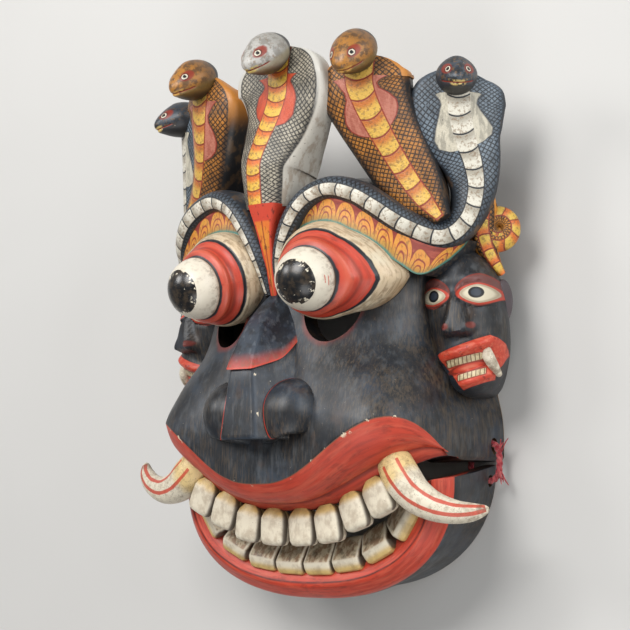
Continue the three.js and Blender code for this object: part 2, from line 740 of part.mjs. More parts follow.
function sideFace(side) {
  const place = sideFaceFrame(side);
  const [halfWidth, halfHeight, depth] = SIDE_FACE.size;
  const { end, roundness, squareness, widerTop, backWidth } = SIDE_FACE;
  const lean = toRadians(SIDE_FACE.lean);
  const rings = [];
  for (let i = 0; i <= SIDE_FACE.rows; i += 1) {
    const v = THREE.MathUtils.lerp(-end, end, i / SIDE_FACE.rows);
    const reach = (1 - Math.abs(v) ** roundness) ** (1 / roundness) * (1 + widerTop * v);
    const ring = [];
    for (let k = 0; k <= SIDE_FACE.columns; k += 1) {
      const angle = (Math.PI * k) / SIDE_FACE.columns;
      const [a, b] = squared(angle, squareness);
      const across = a * reach * halfWidth;
      const up = v * halfHeight;
      const p = across * Math.cos(lean) - up * Math.sin(lean);
      const q = across * Math.sin(lean) + up * Math.cos(lean);
      const relief = sideFaceRelief(p, q) * THREE.MathUtils.smoothstep(b, ...SIDE_FACE.carvedFrom);
      ring.push(place(across, up, b * reach ** SIDE_FACE.doming * depth + relief));
    }
    ring.push(place(-reach * halfWidth * backWidth, v * halfHeight, SIDE_FACE.back));
    ring.push(place(reach * halfWidth * backWidth, v * halfHeight, SIDE_FACE.back));
    rings.push(ring);
  }
  return skinOver(rings);
}

function sideEar(side) {
  const place = sideFaceFrame(side);
  return ellipsoid(place(...SIDE_EAR.at).toArray(), SIDE_EAR.radii, 6, 4);
}

function sideTusk(side) {
  const place = sideFaceFrame(side);
  return tube(SIDE_TUSK.map(([x, y, z, r]) => [...place(x, y, z).toArray(), r]), 3, 6);
}

// Teeth and tusks

function tube(stations, sections, sides) {
  const rings = [];
  for (let i = 0; i <= sections; i += 1) {
    const place = i / sections;
    const [x, y, z, radius] = stationAt(stations, place);
    const ahead = new THREE.Vector3(...stationAt(stations, place + 0.01).slice(0, 3));
    const behind = new THREE.Vector3(...stationAt(stations, place - 0.01).slice(0, 3));
    const along = ahead.sub(behind).normalize();
    const front = new THREE.Vector3(0, 0, 1).addScaledVector(along, -along.z).normalize();
    const across = new THREE.Vector3().crossVectors(along, front);
    rings.push(Array.from({ length: sides }, (_, k) => {
      const a = (2 * Math.PI * k) / sides;
      return new THREE.Vector3(x, y, z)
        .addScaledVector(across, radius * Math.cos(a))
        .addScaledVector(front, TUSK_FLATNESS * radius * Math.sin(a));
    }));
  }
  return skinOver(rings);
}

// An upper tooth: a rounded block, fullest at its middle
function upperTooth([x, y, lean], side) {
  const { halfWidth, halfHeight, halfDepth, z, sides, squareness } = UPPER_TOOTH;
  const turn = new THREE.Euler(0, 0, side * toRadians(lean));
  return skinOver(UPPER_TOOTH.rings.map(([up, wide, deep]) => Array.from({ length: sides }, (_, k) => {
    const [u, v] = squared((2 * Math.PI * (k + 0.5)) / sides, squareness);
    return new THREE.Vector3(u * halfWidth * wide, up * halfHeight, v * halfDepth * deep)
      .applyEuler(turn)
      .add(new THREE.Vector3(side * x, y, z));
  })));
}

// A lower tooth: upright at the gum and bevelled back above, with rounded sides
function lowerTooth([x, y, lean], side) {
  const { halfWidth, halfHeight, z } = LOWER_TOOTH;
  const turn = new THREE.Euler(0, 0, side * toRadians(lean));
  const place = (...p) => new THREE.Vector3(...p).applyEuler(turn).add(new THREE.Vector3(side * x, y, z));
  return skinOver(LOWER_TOOTH.ends.map(([u, scale]) => (
    LOWER_TOOTH.section.map(([up, out]) => place(u * halfWidth, up * halfHeight * scale, out * scale))
  )));
}

// Lower jaw

function jawPoint([halfWidth, start, drop, squareness], z, share) {
  const [u, v] = squared(Math.PI * share, squareness);
  return new THREE.Vector3(u * halfWidth, start - v * drop, z);
}

function jawWall() {
  const { rim, side, lip, lipMiddle, gum, gumBack, wallBack, rimBack, heights } = JAW;
  const rings = [];
  for (let i = 0; i <= JAW.stations; i += 1) {
    const share = i / JAW.stations;
    rings.push([
      jawPoint(rim, 0, share),
      jawPoint(side, heights.side, share),
      jawPoint(lip, heights.lip, share),
      jawPoint(lipMiddle, heights.lipMiddle, share),
      jawPoint(gum, heights.gum, share),
      jawPoint(gumBack, heights.gumBack, share),
      jawPoint(wallBack, heights.wallBack, share),
      jawPoint(rimBack, 0, share),
    ]);
  }
  return skinOver(rings);
}

// Lashings

// Closed loop of cloth out through the upper hole, over the gap and back in below
function lashingLoop(side, radius) {
  const half = (LASHING.upper - LASHING.lower) / 2;
  const middle = (LASHING.upper + LASHING.lower) / 2;
  const rings = [];
  for (let i = 0; i < LASHING.turns; i += 1) {
    const a = (2 * Math.PI * i) / LASHING.turns;
    const [u, v] = squared(a, LASHING.squareness);
    const out = new THREE.Vector3(Math.cos(a), Math.sin(a), 0);
    const centre = new THREE.Vector3(LASHING.x + u * LASHING.halfWidth, middle + v * half, LASHING.z);
    rings.push(Array.from({ length: LASHING.sides }, (_, k) => {
      const b = (2 * Math.PI * k) / LASHING.sides;
      const p = centre.clone().addScaledVector(out, radius * Math.cos(b));
      return new THREE.Vector3(side * p.x, p.y, p.z + radius * Math.sin(b));
    }));
  }
  return ringSkin(rings);
}

// A skin over rings that close on themselves
function ringSkin(rings) {
  const count = rings[0].length;
  const points = rings.flat();
  const index = [];
  for (let i = 0; i < rings.length; i += 1) {
    const next = (i + 1) % rings.length;
    for (let k = 0; k < count; k += 1) {
      const a = i * count + k;
      const b = i * count + ((k + 1) % count);
      const c = next * count + k;
      const d = next * count + ((k + 1) % count);
      index.push(a, b, c, b, d, c);
    }
  }
  return bodyFrom(points, index);
}

// Pieces

function maskFace() {
  const openings = [faceHollow(), ...bothSides(eyeHole)].map(toManifold);
  const shell = openings.reduce((whole, cut) => whole.subtract(cut), toManifold(faceShell()));
  const carving = joined([
    ...bothSides(eye), nose(), noseSaddle(), ...bothSides(nostril),
    ...bothSides(browUnderside), centreWedge(), ...crest(),
    ...bothSides(sideFace), ...bothSides(sideEar), ...bothSides(sideTusk),
  ]);
  const bite = joined([
    ...bothSides(upperTeeth).flat(),
    tube(RIGHT_TUSK, 7, 8), tube(mirrored(LEFT_TUSK), 7, 8),
  ]);
  const holes = joined(bothSides((side) => lashingLoop(side, LASHING.hole)));
  return cleaned(shell.add(carving.subtract(toManifold(faceHollow()))).add(bite).subtract(holes));
}

function upperTeeth(side) {
  return UPPER_TEETH.map((tooth) => upperTooth(tooth, side));
}

function lowerJaw() {
  const teeth = bothSides((side) => LOWER_TEETH.map((tooth) => lowerTooth(tooth, side))).flat();
  const holes = joined(bothSides((side) => lashingLoop(side, LASHING.hole)));
  return cleaned(joined([jawWall(), ...teeth]).subtract(holes));
}

function lashing(side) {
  return toManifold(lashingLoop(side, LASHING.cloth));
}

const painted = { roughness: 0.5, metalness: 0 };
const materials = {
  black: new THREE.MeshStandardMaterial({ color: 0x23262b, ...painted }),
  red: new THREE.MeshStandardMaterial({ color: 0xb5483c, ...painted }),
  cloth: new THREE.MeshStandardMaterial({ color: 0xb04a5c, roughness: 0.95, metalness: 0 }),
};

function piece(name, manifold, material) {
  const mesh = new THREE.Mesh(toGeometry(manifold), material);
  mesh.name = name;
  mesh.position.y = -MIDDLE_LEVEL;
  return mesh;
}

const group = new THREE.Group();
group.name = 'demon_mask';
group.add(piece('mask_face', maskFace(), materials.black));
group.add(piece('lower_jaw', lowerJaw(), materials.red));
group.add(piece('lashing_left', lashing(1), materials.cloth));
group.add(piece('lashing_right', lashing(-1), materials.cloth));

export default group;
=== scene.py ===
"""A carved and painted demon mask lying on its back rim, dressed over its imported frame."""

import math

import bpy
import numpy as np
from mathutils import Matrix, Vector


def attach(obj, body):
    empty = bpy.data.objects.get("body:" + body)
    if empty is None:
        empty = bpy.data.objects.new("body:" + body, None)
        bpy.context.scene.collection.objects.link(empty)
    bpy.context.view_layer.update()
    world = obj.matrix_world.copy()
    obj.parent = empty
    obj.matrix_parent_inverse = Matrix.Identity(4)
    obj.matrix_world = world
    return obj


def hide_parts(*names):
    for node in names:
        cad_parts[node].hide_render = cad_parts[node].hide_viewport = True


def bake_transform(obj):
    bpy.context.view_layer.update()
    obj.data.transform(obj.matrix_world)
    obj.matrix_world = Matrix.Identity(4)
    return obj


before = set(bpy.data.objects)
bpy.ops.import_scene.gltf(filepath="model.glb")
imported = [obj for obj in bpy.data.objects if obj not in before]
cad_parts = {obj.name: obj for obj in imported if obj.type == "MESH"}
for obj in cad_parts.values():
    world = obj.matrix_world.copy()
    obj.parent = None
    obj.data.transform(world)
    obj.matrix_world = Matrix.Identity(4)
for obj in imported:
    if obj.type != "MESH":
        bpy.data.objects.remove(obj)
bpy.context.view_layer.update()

# Sizes in millimetres, in the carver's own levels: X the mask's left, Y its crown, Z out of the face
MIDDLE_LEVEL = -11

# Shell sections: level, half width, depth and squareness
FACE_LEVELS = [
    [-175, 134, 162, 6.0],
    [-130, 134, 162, 6.0],
    [-95, 133, 160, 5.6],
    [-72, 128, 154, 4.6],
    [-45, 126, 147, 3.0],
    [-15, 127, 141, 2.4],
    [25, 129, 136, 2.3],
    [62, 131, 140, 2.4],
    [112, 130, 132, 2.4],
]
FACE_TOP = 112
FACE_CAP_HEIGHT = 34
FACE_BREAK = -55
HOLLOW_LEVELS = [
    [-210, 120, 97, 3.4],
    [-130, 120, 99, 3.4],
    [-95, 119, 118, 3.4],
    [-60, 113, 130, 3.0],
    [-15, 113, 124, 2.4],
    [60, 117, 115, 2.3],
    [98, 116, 112, 2.3],
]
HOLLOW_TOP = 98
HOLLOW_CAP_HEIGHT = 32
CAP_POWER = 2.6

LIP = {
    "crest_middle": -149.5,
    "crest_peak": -97,
    "peak_angle": 45,
    "corner_angle": 27,
    "corner_level": -127,
    "gum_middle": -171.5,
    "gum_end_angle": 34,
    "gum_half_width": 135,
    "gum_depth": 119,
    "gum_squareness": 5,
    "roll": 5,
    "roll_share": 0.72,
    "roll_out": 0.5,
    "roll_down": 0.85,
    "groove": [1.0, 0.745, 0.03],
    "crest_power": 1.35,
    "gum_power": 1.4,
    "corner_tuck": 0.985,
    "jaw_seam": -130,
}
LIP_GUIDE_WIDTH = 30
PAST_LIP = 1.15
SHELL_GRID = {"columns": 161, "cap": 16, "face": 38, "above_lip": 25, "lip": 23}
HOLLOW_GRID = {"columns": 65, "cap": 9, "levels": 30, "behind": -20}

EYE_CENTRE = [59.7, 9.3, 185]
EYE_AXIS = [0.132, -0.231, 0.964]
# Rims of the eye: how far back, radius, reach at the outer corner and radius below
EYE_STATIONS = [
    [62, 45, 71, 37],
    [47, 42, 66, 36],
    [36, 38.5, 56, 35],
    [33, 35.5, 51.5, 33],
    [21, 29.5, 34, 29],
    [17, 26, 26, 26],
]
EYE_CORNER = {"turn": -7, "spread": 62}
EYE_BALL = {"back": 17, "radius": 26, "height": 25.8}
EYE_ROLLS = [[-1, 17.8, 0.9], [1.3, 22, 2.4], [-1, 28, 3.5], [0.7, 33, 1.3], [-1.2, 36, 0.9], [1.2, 42, 5]]
EYE_STROKES = [[5.2, -1, 3.6], [8.4, -6, 4.2], [11.6, 5, 1.4]]
EYE_STROKE = {"none": 9.0, "mm_a_degree": 0.40, "half_width": 0.5}
EYE_HOLE = {"x": 53, "y": -5, "half_width": 23, "half_height": 30, "z": [60, 200]}

# Nose sections: level, half width and Z of the ridge, half width and Z of the foot
NOSE_LEVELS = [
    [14, 3, 130, 8, 124],
    [5, 5.5, 140, 16, 126],
    [-16, 8.5, 161, 27, 129],
    [-35, 10.5, 172.5, 34, 133],
    [-55, 12.5, 181.5, 38, 139],
    [-85, 15.7, 185, 41, 147],
    [-114, 18.8, 187.5, 44, 151],
]
NOSE_SECTION = {"flat": 0.8, "edge": 2.5, "cheek_out": 0.42, "cheek_down": 0.56, "root": 16}
NOSE_END = -114
NOSE_SADDLE = {
    "top": 14, "end": -59, "rise": 36, "half_width": 38, "swell": 2.6, "arch": 3.2,
    "foot_out": 1, "foot_up": 2,
}
NOSTRIL = {
    "centre": [30, -93, 149], "radii": [28, 29, 31], "stretch": 1.5, "tuck": 0.12, "floor": -117, "lift": 0.2,
}
NOSTRIL_HOLE = {"depth": 4.5, "x": 4, "width": 9, "z": 14, "length": 8, "soft": 2.0}

# Snakes: X, Y, Z of the belly line, half width, half thickness, sweep back at the sides and facing
CENTRE_COBRA = [
    [-7, 77, 157, 22, 23, 11, -6],
    [-7, 96, 159, 25, 23, 11, -6],
    [-6, 115, 160, 28, 23, 10, -6],
    [-2, 134, 155, 32.5, 20, 11, -5],
    [4, 153, 150, 38.5, 15, 9, -4],
    [8, 171, 146, 47.5, 11.5, 1, -4],
    [8, 186, 145, 48, 10, -2, -4],
    [8, 199, 144, 41, 8.5, -1, -4],
    [8, 208, 143, 28, 6.5, 0, -4],
    [8, 213, 142, 12, 4, 0, -4],
]
INNER_COBRA = [
    [142, 62, 104, 8, 10, 1, 30],
    [130, 76, 107, 18, 16, 4, 28],
    [118, 92, 110, 25, 18, 6, 25],
    [108, 110, 115, 28.5, 18, 8, 22],
    [100, 128, 122, 31, 16, 10, 20],
    [92, 150, 131, 34.5, 13, 11, 19],
    [87, 169, 137, 39, 11, 11, 18],
    [86, 181, 138, 37.5, 10, 10, 18],
    [85.5, 190, 137.5, 31, 8, 8, 18],
    [85, 197.5, 136, 20, 5.5, 5, 18],
    [85, 202.5, 134, 8, 3, 2, 18],
]
OUTER_SNAKE = [
    [7, 6, 141, 5, 8, 0, 4],
    [11, 33, 151, 8, 11, 1, 6],
    [23, 61, 156, 10, 13, 2, 8],
    [40, 81, 156, 10.5, 17, 2, 11],
    [62, 89.5, 152, 10.5, 18, 2, 14],
    [85, 84, 147, 11.5, 18, 2, 18],
    [103, 73, 141, 12, 17, 2, 22],
    [121, 58.5, 127, 12.5, 16, 2, 28],
    [137, 49.5, 106, 12.5, 16, 2, 34],
    [147, 53, 94, 13, 15, 2, 37],
    [154, 67, 82, 14.5, 14, 3, 38],
    [157, 88, 76, 18.5, 13, 4, 38],
    [156, 108, 77, 24, 12, 5, 38],
    [152, 128, 82, 32, 11, 6, 38],
    [149.3, 148, 85.6, 38.5, 9.5, 6, 38],
    [149.1, 161, 86.8, 38.8, 9, 6, 38],
    [149.3, 171, 87, 36, 8, 5, 38],
    [149.5, 179, 86.4, 28, 6, 4, 38],
    [149.5, 185, 85, 13, 3, 2, 38],
]
SNAKE_SECTION = {
    "narrow": 15, "wide": 24, "round": 2.4, "flat": 6, "crown": 3, "crown_from": 0.86, "crown_full": 0.96,
}
SNAKE_SIDES = 48
SNAKE_BACK = {"edge": -0.5, "away": 40}
HOOD_FROM = 0.45
SNAKE_BELLY = {"rise": 0.8, "half": 0.3, "side": 0.6, "side_half": 0.2}
HEADS = {
    "centre": {"at": [6, 203.5, 160], "facing": -6, "dip": 33, "size": [19, 17, 26]},
    "left_inner": {"at": [86, 196.5, 146], "facing": 6, "dip": 38, "size": [19.5, 17.5, 26]},
    "right_inner": {"at": [86, 196.5, 146], "facing": 6, "dip": 26, "size": [19, 17.5, 26]},
    "outer": {"at": [150, 178.5, 91], "facing": 38, "dip": 17, "size": [17, 16, 24]},
}
HEAD_SHAPE = {"narrow_snout": 0.3, "flat_snout": 0.32, "narrow_crown": 0.22}
HEAD_EYE = {
    "towards": [0.62, 0.50, 0.60], "bump": 0.9, "reach": 3.2,
    "patch": 6.0, "patch_off": [0, -0.5, -2.5], "patch_shape": [1, 0.8, 1.2],
}
HEAD_MOUTH = {"drop": 0.34, "slope": 0.12, "depth": 1.1, "half": 0.9}
HEAD_LIP = {"height": 0.8, "below": 3, "half": 2}

# The brow's edges: X, Y, Z
BROW_UPPER = [
    [9, 20, 146], [24, 59, 148], [60, 86, 145], [94, 75, 138], [118, 56, 121], [136, 46, 100], [148, 47, 86],
]
BROW_LOWER = [
    [12, 6, 134], [26, 46, 146], [57, 60, 147], [92, 44, 139], [116, 26, 127], [127, 17, 110], [139, 30, 88],
]
BROW_THICKNESS = 36
BROW_GRID = {"along": 96, "down": 13}
# The wedge: level, Z and half width
WEDGE_LEVELS = [[80, 159, 14.5], [57, 154, 8.5], [30, 147, 5], [2, 140, 3]]
WEDGE_DEPTH = 38

SIDE_FACE = {"at": [131, -19, 46], "facing": 24, "lean": 9, "size": [33, 61, 40]}
SIDE_EGG = {"up": 2.4, "around": 2.3, "top_heavy": 0.1, "bulge": 0.7, "back": -30, "back_share": 0.8}
SIDE_EAR = {"at": [30.5, 14, 2], "radii": [6, 18, 12], "bowl": [2.2, 0, 9, 5, 5]}
SIDE_TUSK_AGE = 76
# Tusks: X, Y, Z and radius
SIDE_TUSK = [[13.5, -24.5, 30, 4.5], [15.5, -31, 33, 5], [18, -39, 30, 4.5], [21, -48, 22, 2.5]]
# A lid is its middle and half sizes; a pupil is its middle, how much wider than high it is, and its radius
SIDE_EYES = [
    {
        "at": [-24, 19.6], "ball": [11.5, 7], "white": [11.5, 6.4],
        "lid": [[-24, 22.4], [14, 12]], "pupil": [-23, 20, 1, 4.8],
    },
    {
        "at": [14, 21.5], "ball": [15, 8.4], "white": [15, 7.6],
        "lid": [[14, 25], [18.5, 13]], "pupil": [12, 22.4, 1.35, 4.6],
    },
]
SIDE_EYE_RISE = 3.6
SIDE_NOSE = {"middle": -4, "half": 4.5, "widening": 6, "root": 16, "base": -9, "height": 10}
SIDE_NOSTRILS = [[-13, -5.5, 1.2, 2.8], [8, -4, 1.2, 2.8]]
# Mounds are a height, then a middle and a half width each way
SIDE_WINGS = [2.8, 11.5, 3.4, -5.5, 4.5]
SIDE_WINGS_MIDDLE = -3
SIDE_CHIN = [2.5, 4, 16, -52, 6]
# Teeth and tongue are a slant, a middle and half sizes
SIDE_TEETH = [[0.1, [1, 12.8], [15, 2.6]], [0.08, [6.5, 25.6], [11.5, 2.4]]]
SIDE_TONGUE = [0.09, [4, 19.2], [13.5, 2.7]]
SIDE_MOUTH = {
    "level": -19,
    "slope": 0.33,
    "height": 36,
    "left": -22.6,
    "left_lean": 0.6,
    "right_drops": [0, 4, 9, 14, 19, 25, 30, 36],
    "right_ends": [22, 28, 32, 33, 33, 30, 26, 24],
    "rolls": [[5.5, 5, 5], [5, 32, 4.6], [-2, 19, 5], [-1.4, 10, 0.9], [-1.2, 21.5, 0.8]],
}
# Tails are snakes too
TAIL = [
    [157, 92, 62, 8, 8, 0, 40],
    [155, 76, 61, 12, 10, 1, 40],
    [153, 58, 59, 13, 12, 1, 40],
    [155, 41, 54, 10, 12, 1, 40],
    [159, 29, 48, 6, 9, 0, 42],
    [162, 21, 42, 3, 5, 0, 44],
]
COIL = {"at": [155, 60, 40], "facing": 40, "start": -2.2, "sweep": 7.4, "rise": 3.0, "length": 115}
COIL_RADII = [10.8, 6.2]
COIL_CORD = [10.4, 7.4]
COIL_BAND = {"turned": 0.22, "half": 7.5, "behind": -0.5, "away": 9}

# Teeth: X, level and lean
UPPER_TEETH = [[14.9, -184.5, 3], [42, -181.5, 9], [68, -171, 19], [92, -159.5, 26]]
UPPER_TOOTH = {"half_width": 13.3, "half_height": 15.5, "half_depth": 8, "z": 118.5, "squareness": 3.2}
UPPER_WIDE = [(-1, 0.62), (-0.93, 0.84), (-0.72, 0.96), (0, 1), (0.45, 0.98), (0.75, 0.84), (1, 0.5)]
UPPER_DEEP = [(-1, 0.45), (-0.93, 0.72), (-0.72, 0.9), (0.45, 1), (1, 0.6)]
LOWER_TEETH = [[14.6, -209.5, 2], [43.5, -206, 8], [72, -196, 26], [96, -177, 56]]
LOWER_TOOTH = {"half_width": 14.2, "half_height": 13.5, "z": 93}
LOWER_PROFILE = [[-1.1, 6], [-0.75, 9], [-0.38, 10.5], [1, -1], [1, -7], [-1.1, -8]]
LOWER_HALF = [(0, 1), (0.3, 1), (0.6, 1), (0.8, 0.985), (0.93, 0.9), (1, 0.78)]
TUBE_FLATTENED = 0.85
TUBE_TIP = {"from": 0.92, "length": 0.085, "least": 0.01}
TUSK_STRIPES = {"degrees": [78, 128], "half": 1.5, "flattened": 0.9, "from": 6, "to": 96, "away": 9}
RIGHT_TUSK = [
    [103, -131, 115, 15], [113, -145, 117, 16], [124, -158, 115, 14.5], [140, -167, 113, 12],
    [157, -171.5, 108, 9.5], [171, -171.5, 102, 7], [181, -169, 96, 3],
]
LEFT_TUSK = [
    [103, -131, 115, 15], [112, -141, 117, 16], [126, -150, 115, 14.5], [143, -154, 113, 12],
    [162, -149.5, 108, 9.5], [176, -140, 102, 7], [183, -130, 96, 3],
]

# The jaw's section: half width, level at the rim, drop to the front, squareness and height
JAW_RIM = [128, -133, 104, 2.15, 0]
JAW_SIDE = [136, -140, 99, 2.2, 46]
JAW_LIP = [142, -144, 101, 2.35, 86]
JAW_LIP_MIDDLE = [129, -146, 88, 2.3, 99]
JAW_GUM = [114, -150, 73, 2.5, 96]
JAW_GUM_BACK = [100, -152, 58, 2.5, 84]
JAW_WALL_BACK = [120, -140, 84, 2.2, 44]
JAW_RIM_BACK = [114, -133, 90, 2.15, 0]
LASHING = {"x": 125, "z": 15, "half_width": 14, "upper": -115, "lower": -147, "hole": 5}
STRANDS = {"count": 3, "twists": 7, "off": 1.35, "radius": 1.6}
# Loose ends: a level, how steeply they rise and how many they are
FRAYS = [[-123, 0.9, 4], [-139, -0.9, 5]]

# Paint guides: what each channel of a surface's guide holds, mostly in millimetres
FACE_GUIDES = ("below_crest", "around", "lip_share", "hole_edge", "nose_gap", "saddle_edge", "ridge_edge")
SNAKE_GUIDES = ("along", "across", "band", "blotch", "level", "edge")
EYE_GUIDES = ("back", "turn", "stroke")
BROW_GUIDES = ("along", "from_top", "eye_gap")
WEDGE_GUIDES = ("across", "level", "edge")
HEAD_GUIDES = ("up", "ahead", "eye", "mouth", "patch")
SIDE_GUIDES = ("lips", "teeth", "white", "pupil", "lid", "across", "tongue", "nostril", "drop")
TOOTH_GUIDES = ("up", "out")
TUSK_GUIDES = ("along", "stripe")
JAW_GUIDES = ("lip_edge", "around", "inside")
GUIDE_SETS = 3
FAR = 99


# Studio sizes in metres, angles in degrees and the lens in millimetres
CAMERA = {"left_of_face": 38, "above_face": -5.4, "distance": 1.691, "aside": -0.0521, "lens": 109.4}
LIT_PLACE = (0, 0, 0.08)
LIGHTS = [
    ("key", (0.05, 0.95, 1.75), 1.1, 31, (1, 1, 1)),
    ("side", (2.0, 0.35, 0.75), 1.0, 15, (1, 1, 1)),
    ("low", (0.75, -1.35, 1.35), 1.2, 11, (1, 1, 1)),
    ("sheen", (-1.2, 0.75, 1.4), 0.6, 11, (1, 1, 1)),
    ("cool", (1.8, 1.25, 0.55), 0.9, 10, (0.84, 0.92, 1.0)),
]
SKY = {"tint": (0.92, 0.95, 1.0, 1), "strength": 0.22}
FLOOR = {"reach": 6.0, "z": -0.0004}


# Curves and outlines


def hermite(a, b, slope_a, slope_b, t):
    """The smooth curve from a to b that leaves and arrives at the slopes given"""
    t2 = t * t
    t3 = t2 * t
    ends = a * (2 * t3 - 3 * t2 + 1) + b * (3 * t2 - 2 * t3)
    return ends + slope_a * (t3 - 2 * t2 + t) + slope_b * (t3 - t2)


def stations_at(stations, places):
    """Rows of a table at places between its first (0) and last (1) rows"""
    rows = np.asarray(stations, float)
    last = len(rows) - 1
    along = np.clip(places, 0, 1) * last
    i = np.minimum(along.astype(int), last - 1)
    t = (along - i)[:, None]
    a, b, c, d = (rows[np.clip(i + k, 0, last)] for k in (-1, 0, 1, 2))
    return hermite(b, c, (c - a) / 2, (d - b) / 2, t)


def at_level(levels, level):
    """The other columns of a table whose first column is a level, with no kinks between its rows"""
    table = np.array(sorted(levels), float)
    ys = table[:, 0]
    y = np.clip(level, ys[0], ys[-1])
    i = np.clip(np.searchsorted(ys, y) - 1, 0, len(ys) - 2)
    step = ys[i + 1] - ys[i]
    t = (y - ys[i]) / step
    columns = []
    for values in table.T[1:]:
        slopes = np.gradient(values, ys)
        columns.append(hermite(values[i], values[i + 1], slopes[i] * step, slopes[i + 1] * step, t))
    return columns


def full_turn(steps):
    """Angles of even steps once round"""
    return np.linspace(0, 2 * np.pi, steps, endpoint=False)


def run_of(points):
    """How far along a line of points each one lies"""
    return np.cumsum(np.linalg.norm(np.diff(points, axis=0, prepend=points[:1]), axis=1))


def heading(stations, places):
    """Direction of a table's line, whose first columns are X, Y and Z, at places along it"""
    before, after = (stations_at(stations, places + step)[:, :3] for step in (-0.01, 0.01))
    return unit(after - before)


def nearest(distances):
    """The smallest of several distances at each place"""
    return np.min(list(distances), axis=0)


def squared(turn, squareness):
    """Point of a rounded square outline, one unit across each way, at a turn from its X axis"""
    c, s = np.cos(turn), np.sin(turn)
    r = (np.abs(c) ** squareness + np.abs(s) ** squareness) ** (-1 / squareness)
    return c * r, s * r


def ease(t):
    """From 0 to 1, slowly at both ends"""
    return (1 - np.cos(np.pi * np.clip(t, 0, 1))) / 2


def smoothstep(value, low, high):
    """0 under low, 1 over high and a soft step between"""
    t = np.clip((value - low) / (high - low), 0, 1)
    return t * t * (3 - 2 * t)


def hump(value, middle, width):
    """A bell of height 1 round a middle"""
    return np.exp(-(((value - middle) / width) ** 2))


def unit(vectors):
    """Directions of vectors, one unit long"""
    return vectors / np.linalg.norm(vectors, axis=-1, keepdims=True)


def turned(points, dip, facing, lean=0.0):
    """Points turned by a lean about Z, then a dip about X, then a facing about Y, in degrees"""
    turn = Matrix.Rotation(math.radians(facing), 3, "Y") @ Matrix.Rotation(math.radians(dip), 3, "X")
    turn = turn @ Matrix.Rotation(math.radians(lean), 3, "Z")
    return points @ np.array(turn).T


def flipped(points, side):
    """Points as they are on the left side, 1, or mirrored to the right, -1"""
    return points * np.array([side, 1, 1])


def rounded(corners, steps, passes):
    """Closed outlines, one a row, with steps points on each edge and their corners worn round"""
    following = np.roll(corners, -1, axis=1)
    shares = (np.arange(steps) / steps)[None, None, :, None]
    edges = corners[:, :, None] * (1 - shares) + following[:, :, None] * shares
    points = edges.reshape(corners.shape[0], -1, 3)
    for _ in range(passes):
        points = points * 0.5 + (np.roll(points, 1, axis=1) + np.roll(points, -1, axis=1)) * 0.25
    return points


# Meshes


def quad_faces(rows, columns):
    """Faces between rings of a grid whose points are numbered along each ring"""
    first = np.arange((rows - 1) * columns).reshape(rows - 1, columns)
    second = np.roll(first, -1, axis=1)
    return np.stack([first, second, second + columns, first + columns], -1).reshape(-1, 4)


def volume(points, faces):
    """Six times the signed volume inside faces of three or four corners"""
    total = 0.0
    for block in faces:
        for k in range(1, block.shape[1] - 1):
            a, b, c = points[block[:, 0]], points[block[:, k]], points[block[:, k + 1]]
            total += np.einsum("ij,ij->", a, np.cross(b, c))
    return total


def skin(name, rings, material, guides=()):
    """A closed skin over a stack of rings, with its paint guides at every corner"""
    rows, columns = rings.shape[:2]
    points = np.vstack([rings.reshape(-1, 3), rings[0].mean(axis=0), rings[-1].mean(axis=0)])
    ring = np.arange(columns)
    following = np.roll(ring, -1)
    low_end = np.stack([following, ring, np.full(columns, rows * columns)], 1)
    last = (rows - 1) * columns
    high_end = np.stack([ring + last, following + last, np.full(columns, rows * columns + 1)], 1)
    faces = [quad_faces(rows, columns), low_end, high_end]
    if volume(points, faces) < 0:
        faces = [block[:, ::-1] for block in faces]
    return body(name, points, faces, material, [capped(np.broadcast_to(g, (rows, columns))) for g in guides])


def ring_skin(name, rings, material):
    """A skin over rings that close on themselves both ways"""
    rows, columns = rings.shape[:2]
    points = rings.reshape(-1, 3)
    faces = quad_faces(rows + 1, columns) % (rows * columns)
    if volume(points, [faces]) < 0:
        faces = faces[:, ::-1]
    return body(name, points, [faces], material, [])


def capped(grid):
    """A guide's values on a skin's points, with its two ends' middles"""
    return np.concatenate([grid.reshape(-1), [grid[0].mean(), grid[-1].mean()]])


def body(name, points, faces, material, guides):
    """A mesh object in metres, in the frame's place, from points in the carver's millimetres"""
    mesh = bpy.data.meshes.new(name)
    placed = (points - np.array([0, MIDDLE_LEVEL, 0])) / 1000
    mesh.from_pydata(placed.tolist(), [], [face for block in faces for face in block.tolist()])
    corners = np.zeros(len(mesh.loops), np.int32)
    mesh.loops.foreach_get("vertex_index", corners)
    channels = np.zeros((3 * GUIDE_SETS, len(points)))
    for i, guide in enumerate(guides):
        channels[i] = guide
    for k in range(GUIDE_SETS):
        attribute = mesh.attributes.new(f"guide_{k}", "FLOAT_VECTOR", "CORNER")
        values = channels[3 * k:3 * k + 3, corners].T
        attribute.data.foreach_set("vector", values.astype(np.float32).ravel())
    mesh.materials.append(material)
    made = bpy.data.objects.new(name, mesh)
    bpy.context.scene.collection.objects.link(made)
    return made


def carve(base, others, operation):
    """Joins other bodies to a base or cuts them from it, keeping their paint guides, and removes them"""
    for other in others:
        step = base.modifiers.new("carve", "BOOLEAN")
        step.solver = "MANIFOLD"
        step.operation = operation
        step.object = other
        step.material_mode = "TRANSFER"
        bpy.context.view_layer.update()
        graph = bpy.context.evaluated_depsgraph_get()
        carved = base.evaluated_get(graph)
        cut = bpy.data.meshes.new_from_object(carved, preserve_all_data_layers=True, depsgraph=graph)
        base.modifiers.remove(step)
        base.data = cut
        bpy.data.objects.remove(other)
    return base


def joined(parts):
    """All parts as one body"""
    return carve(parts[0], parts[1:], "UNION")


def shaded(piece, angle=38):
    """Smooth shading but for edges sharper than an angle"""
    piece.data.shade_smooth()
    piece.data.set_sharp_from_angle(angle=math.radians(angle))
    return piece


# Paint


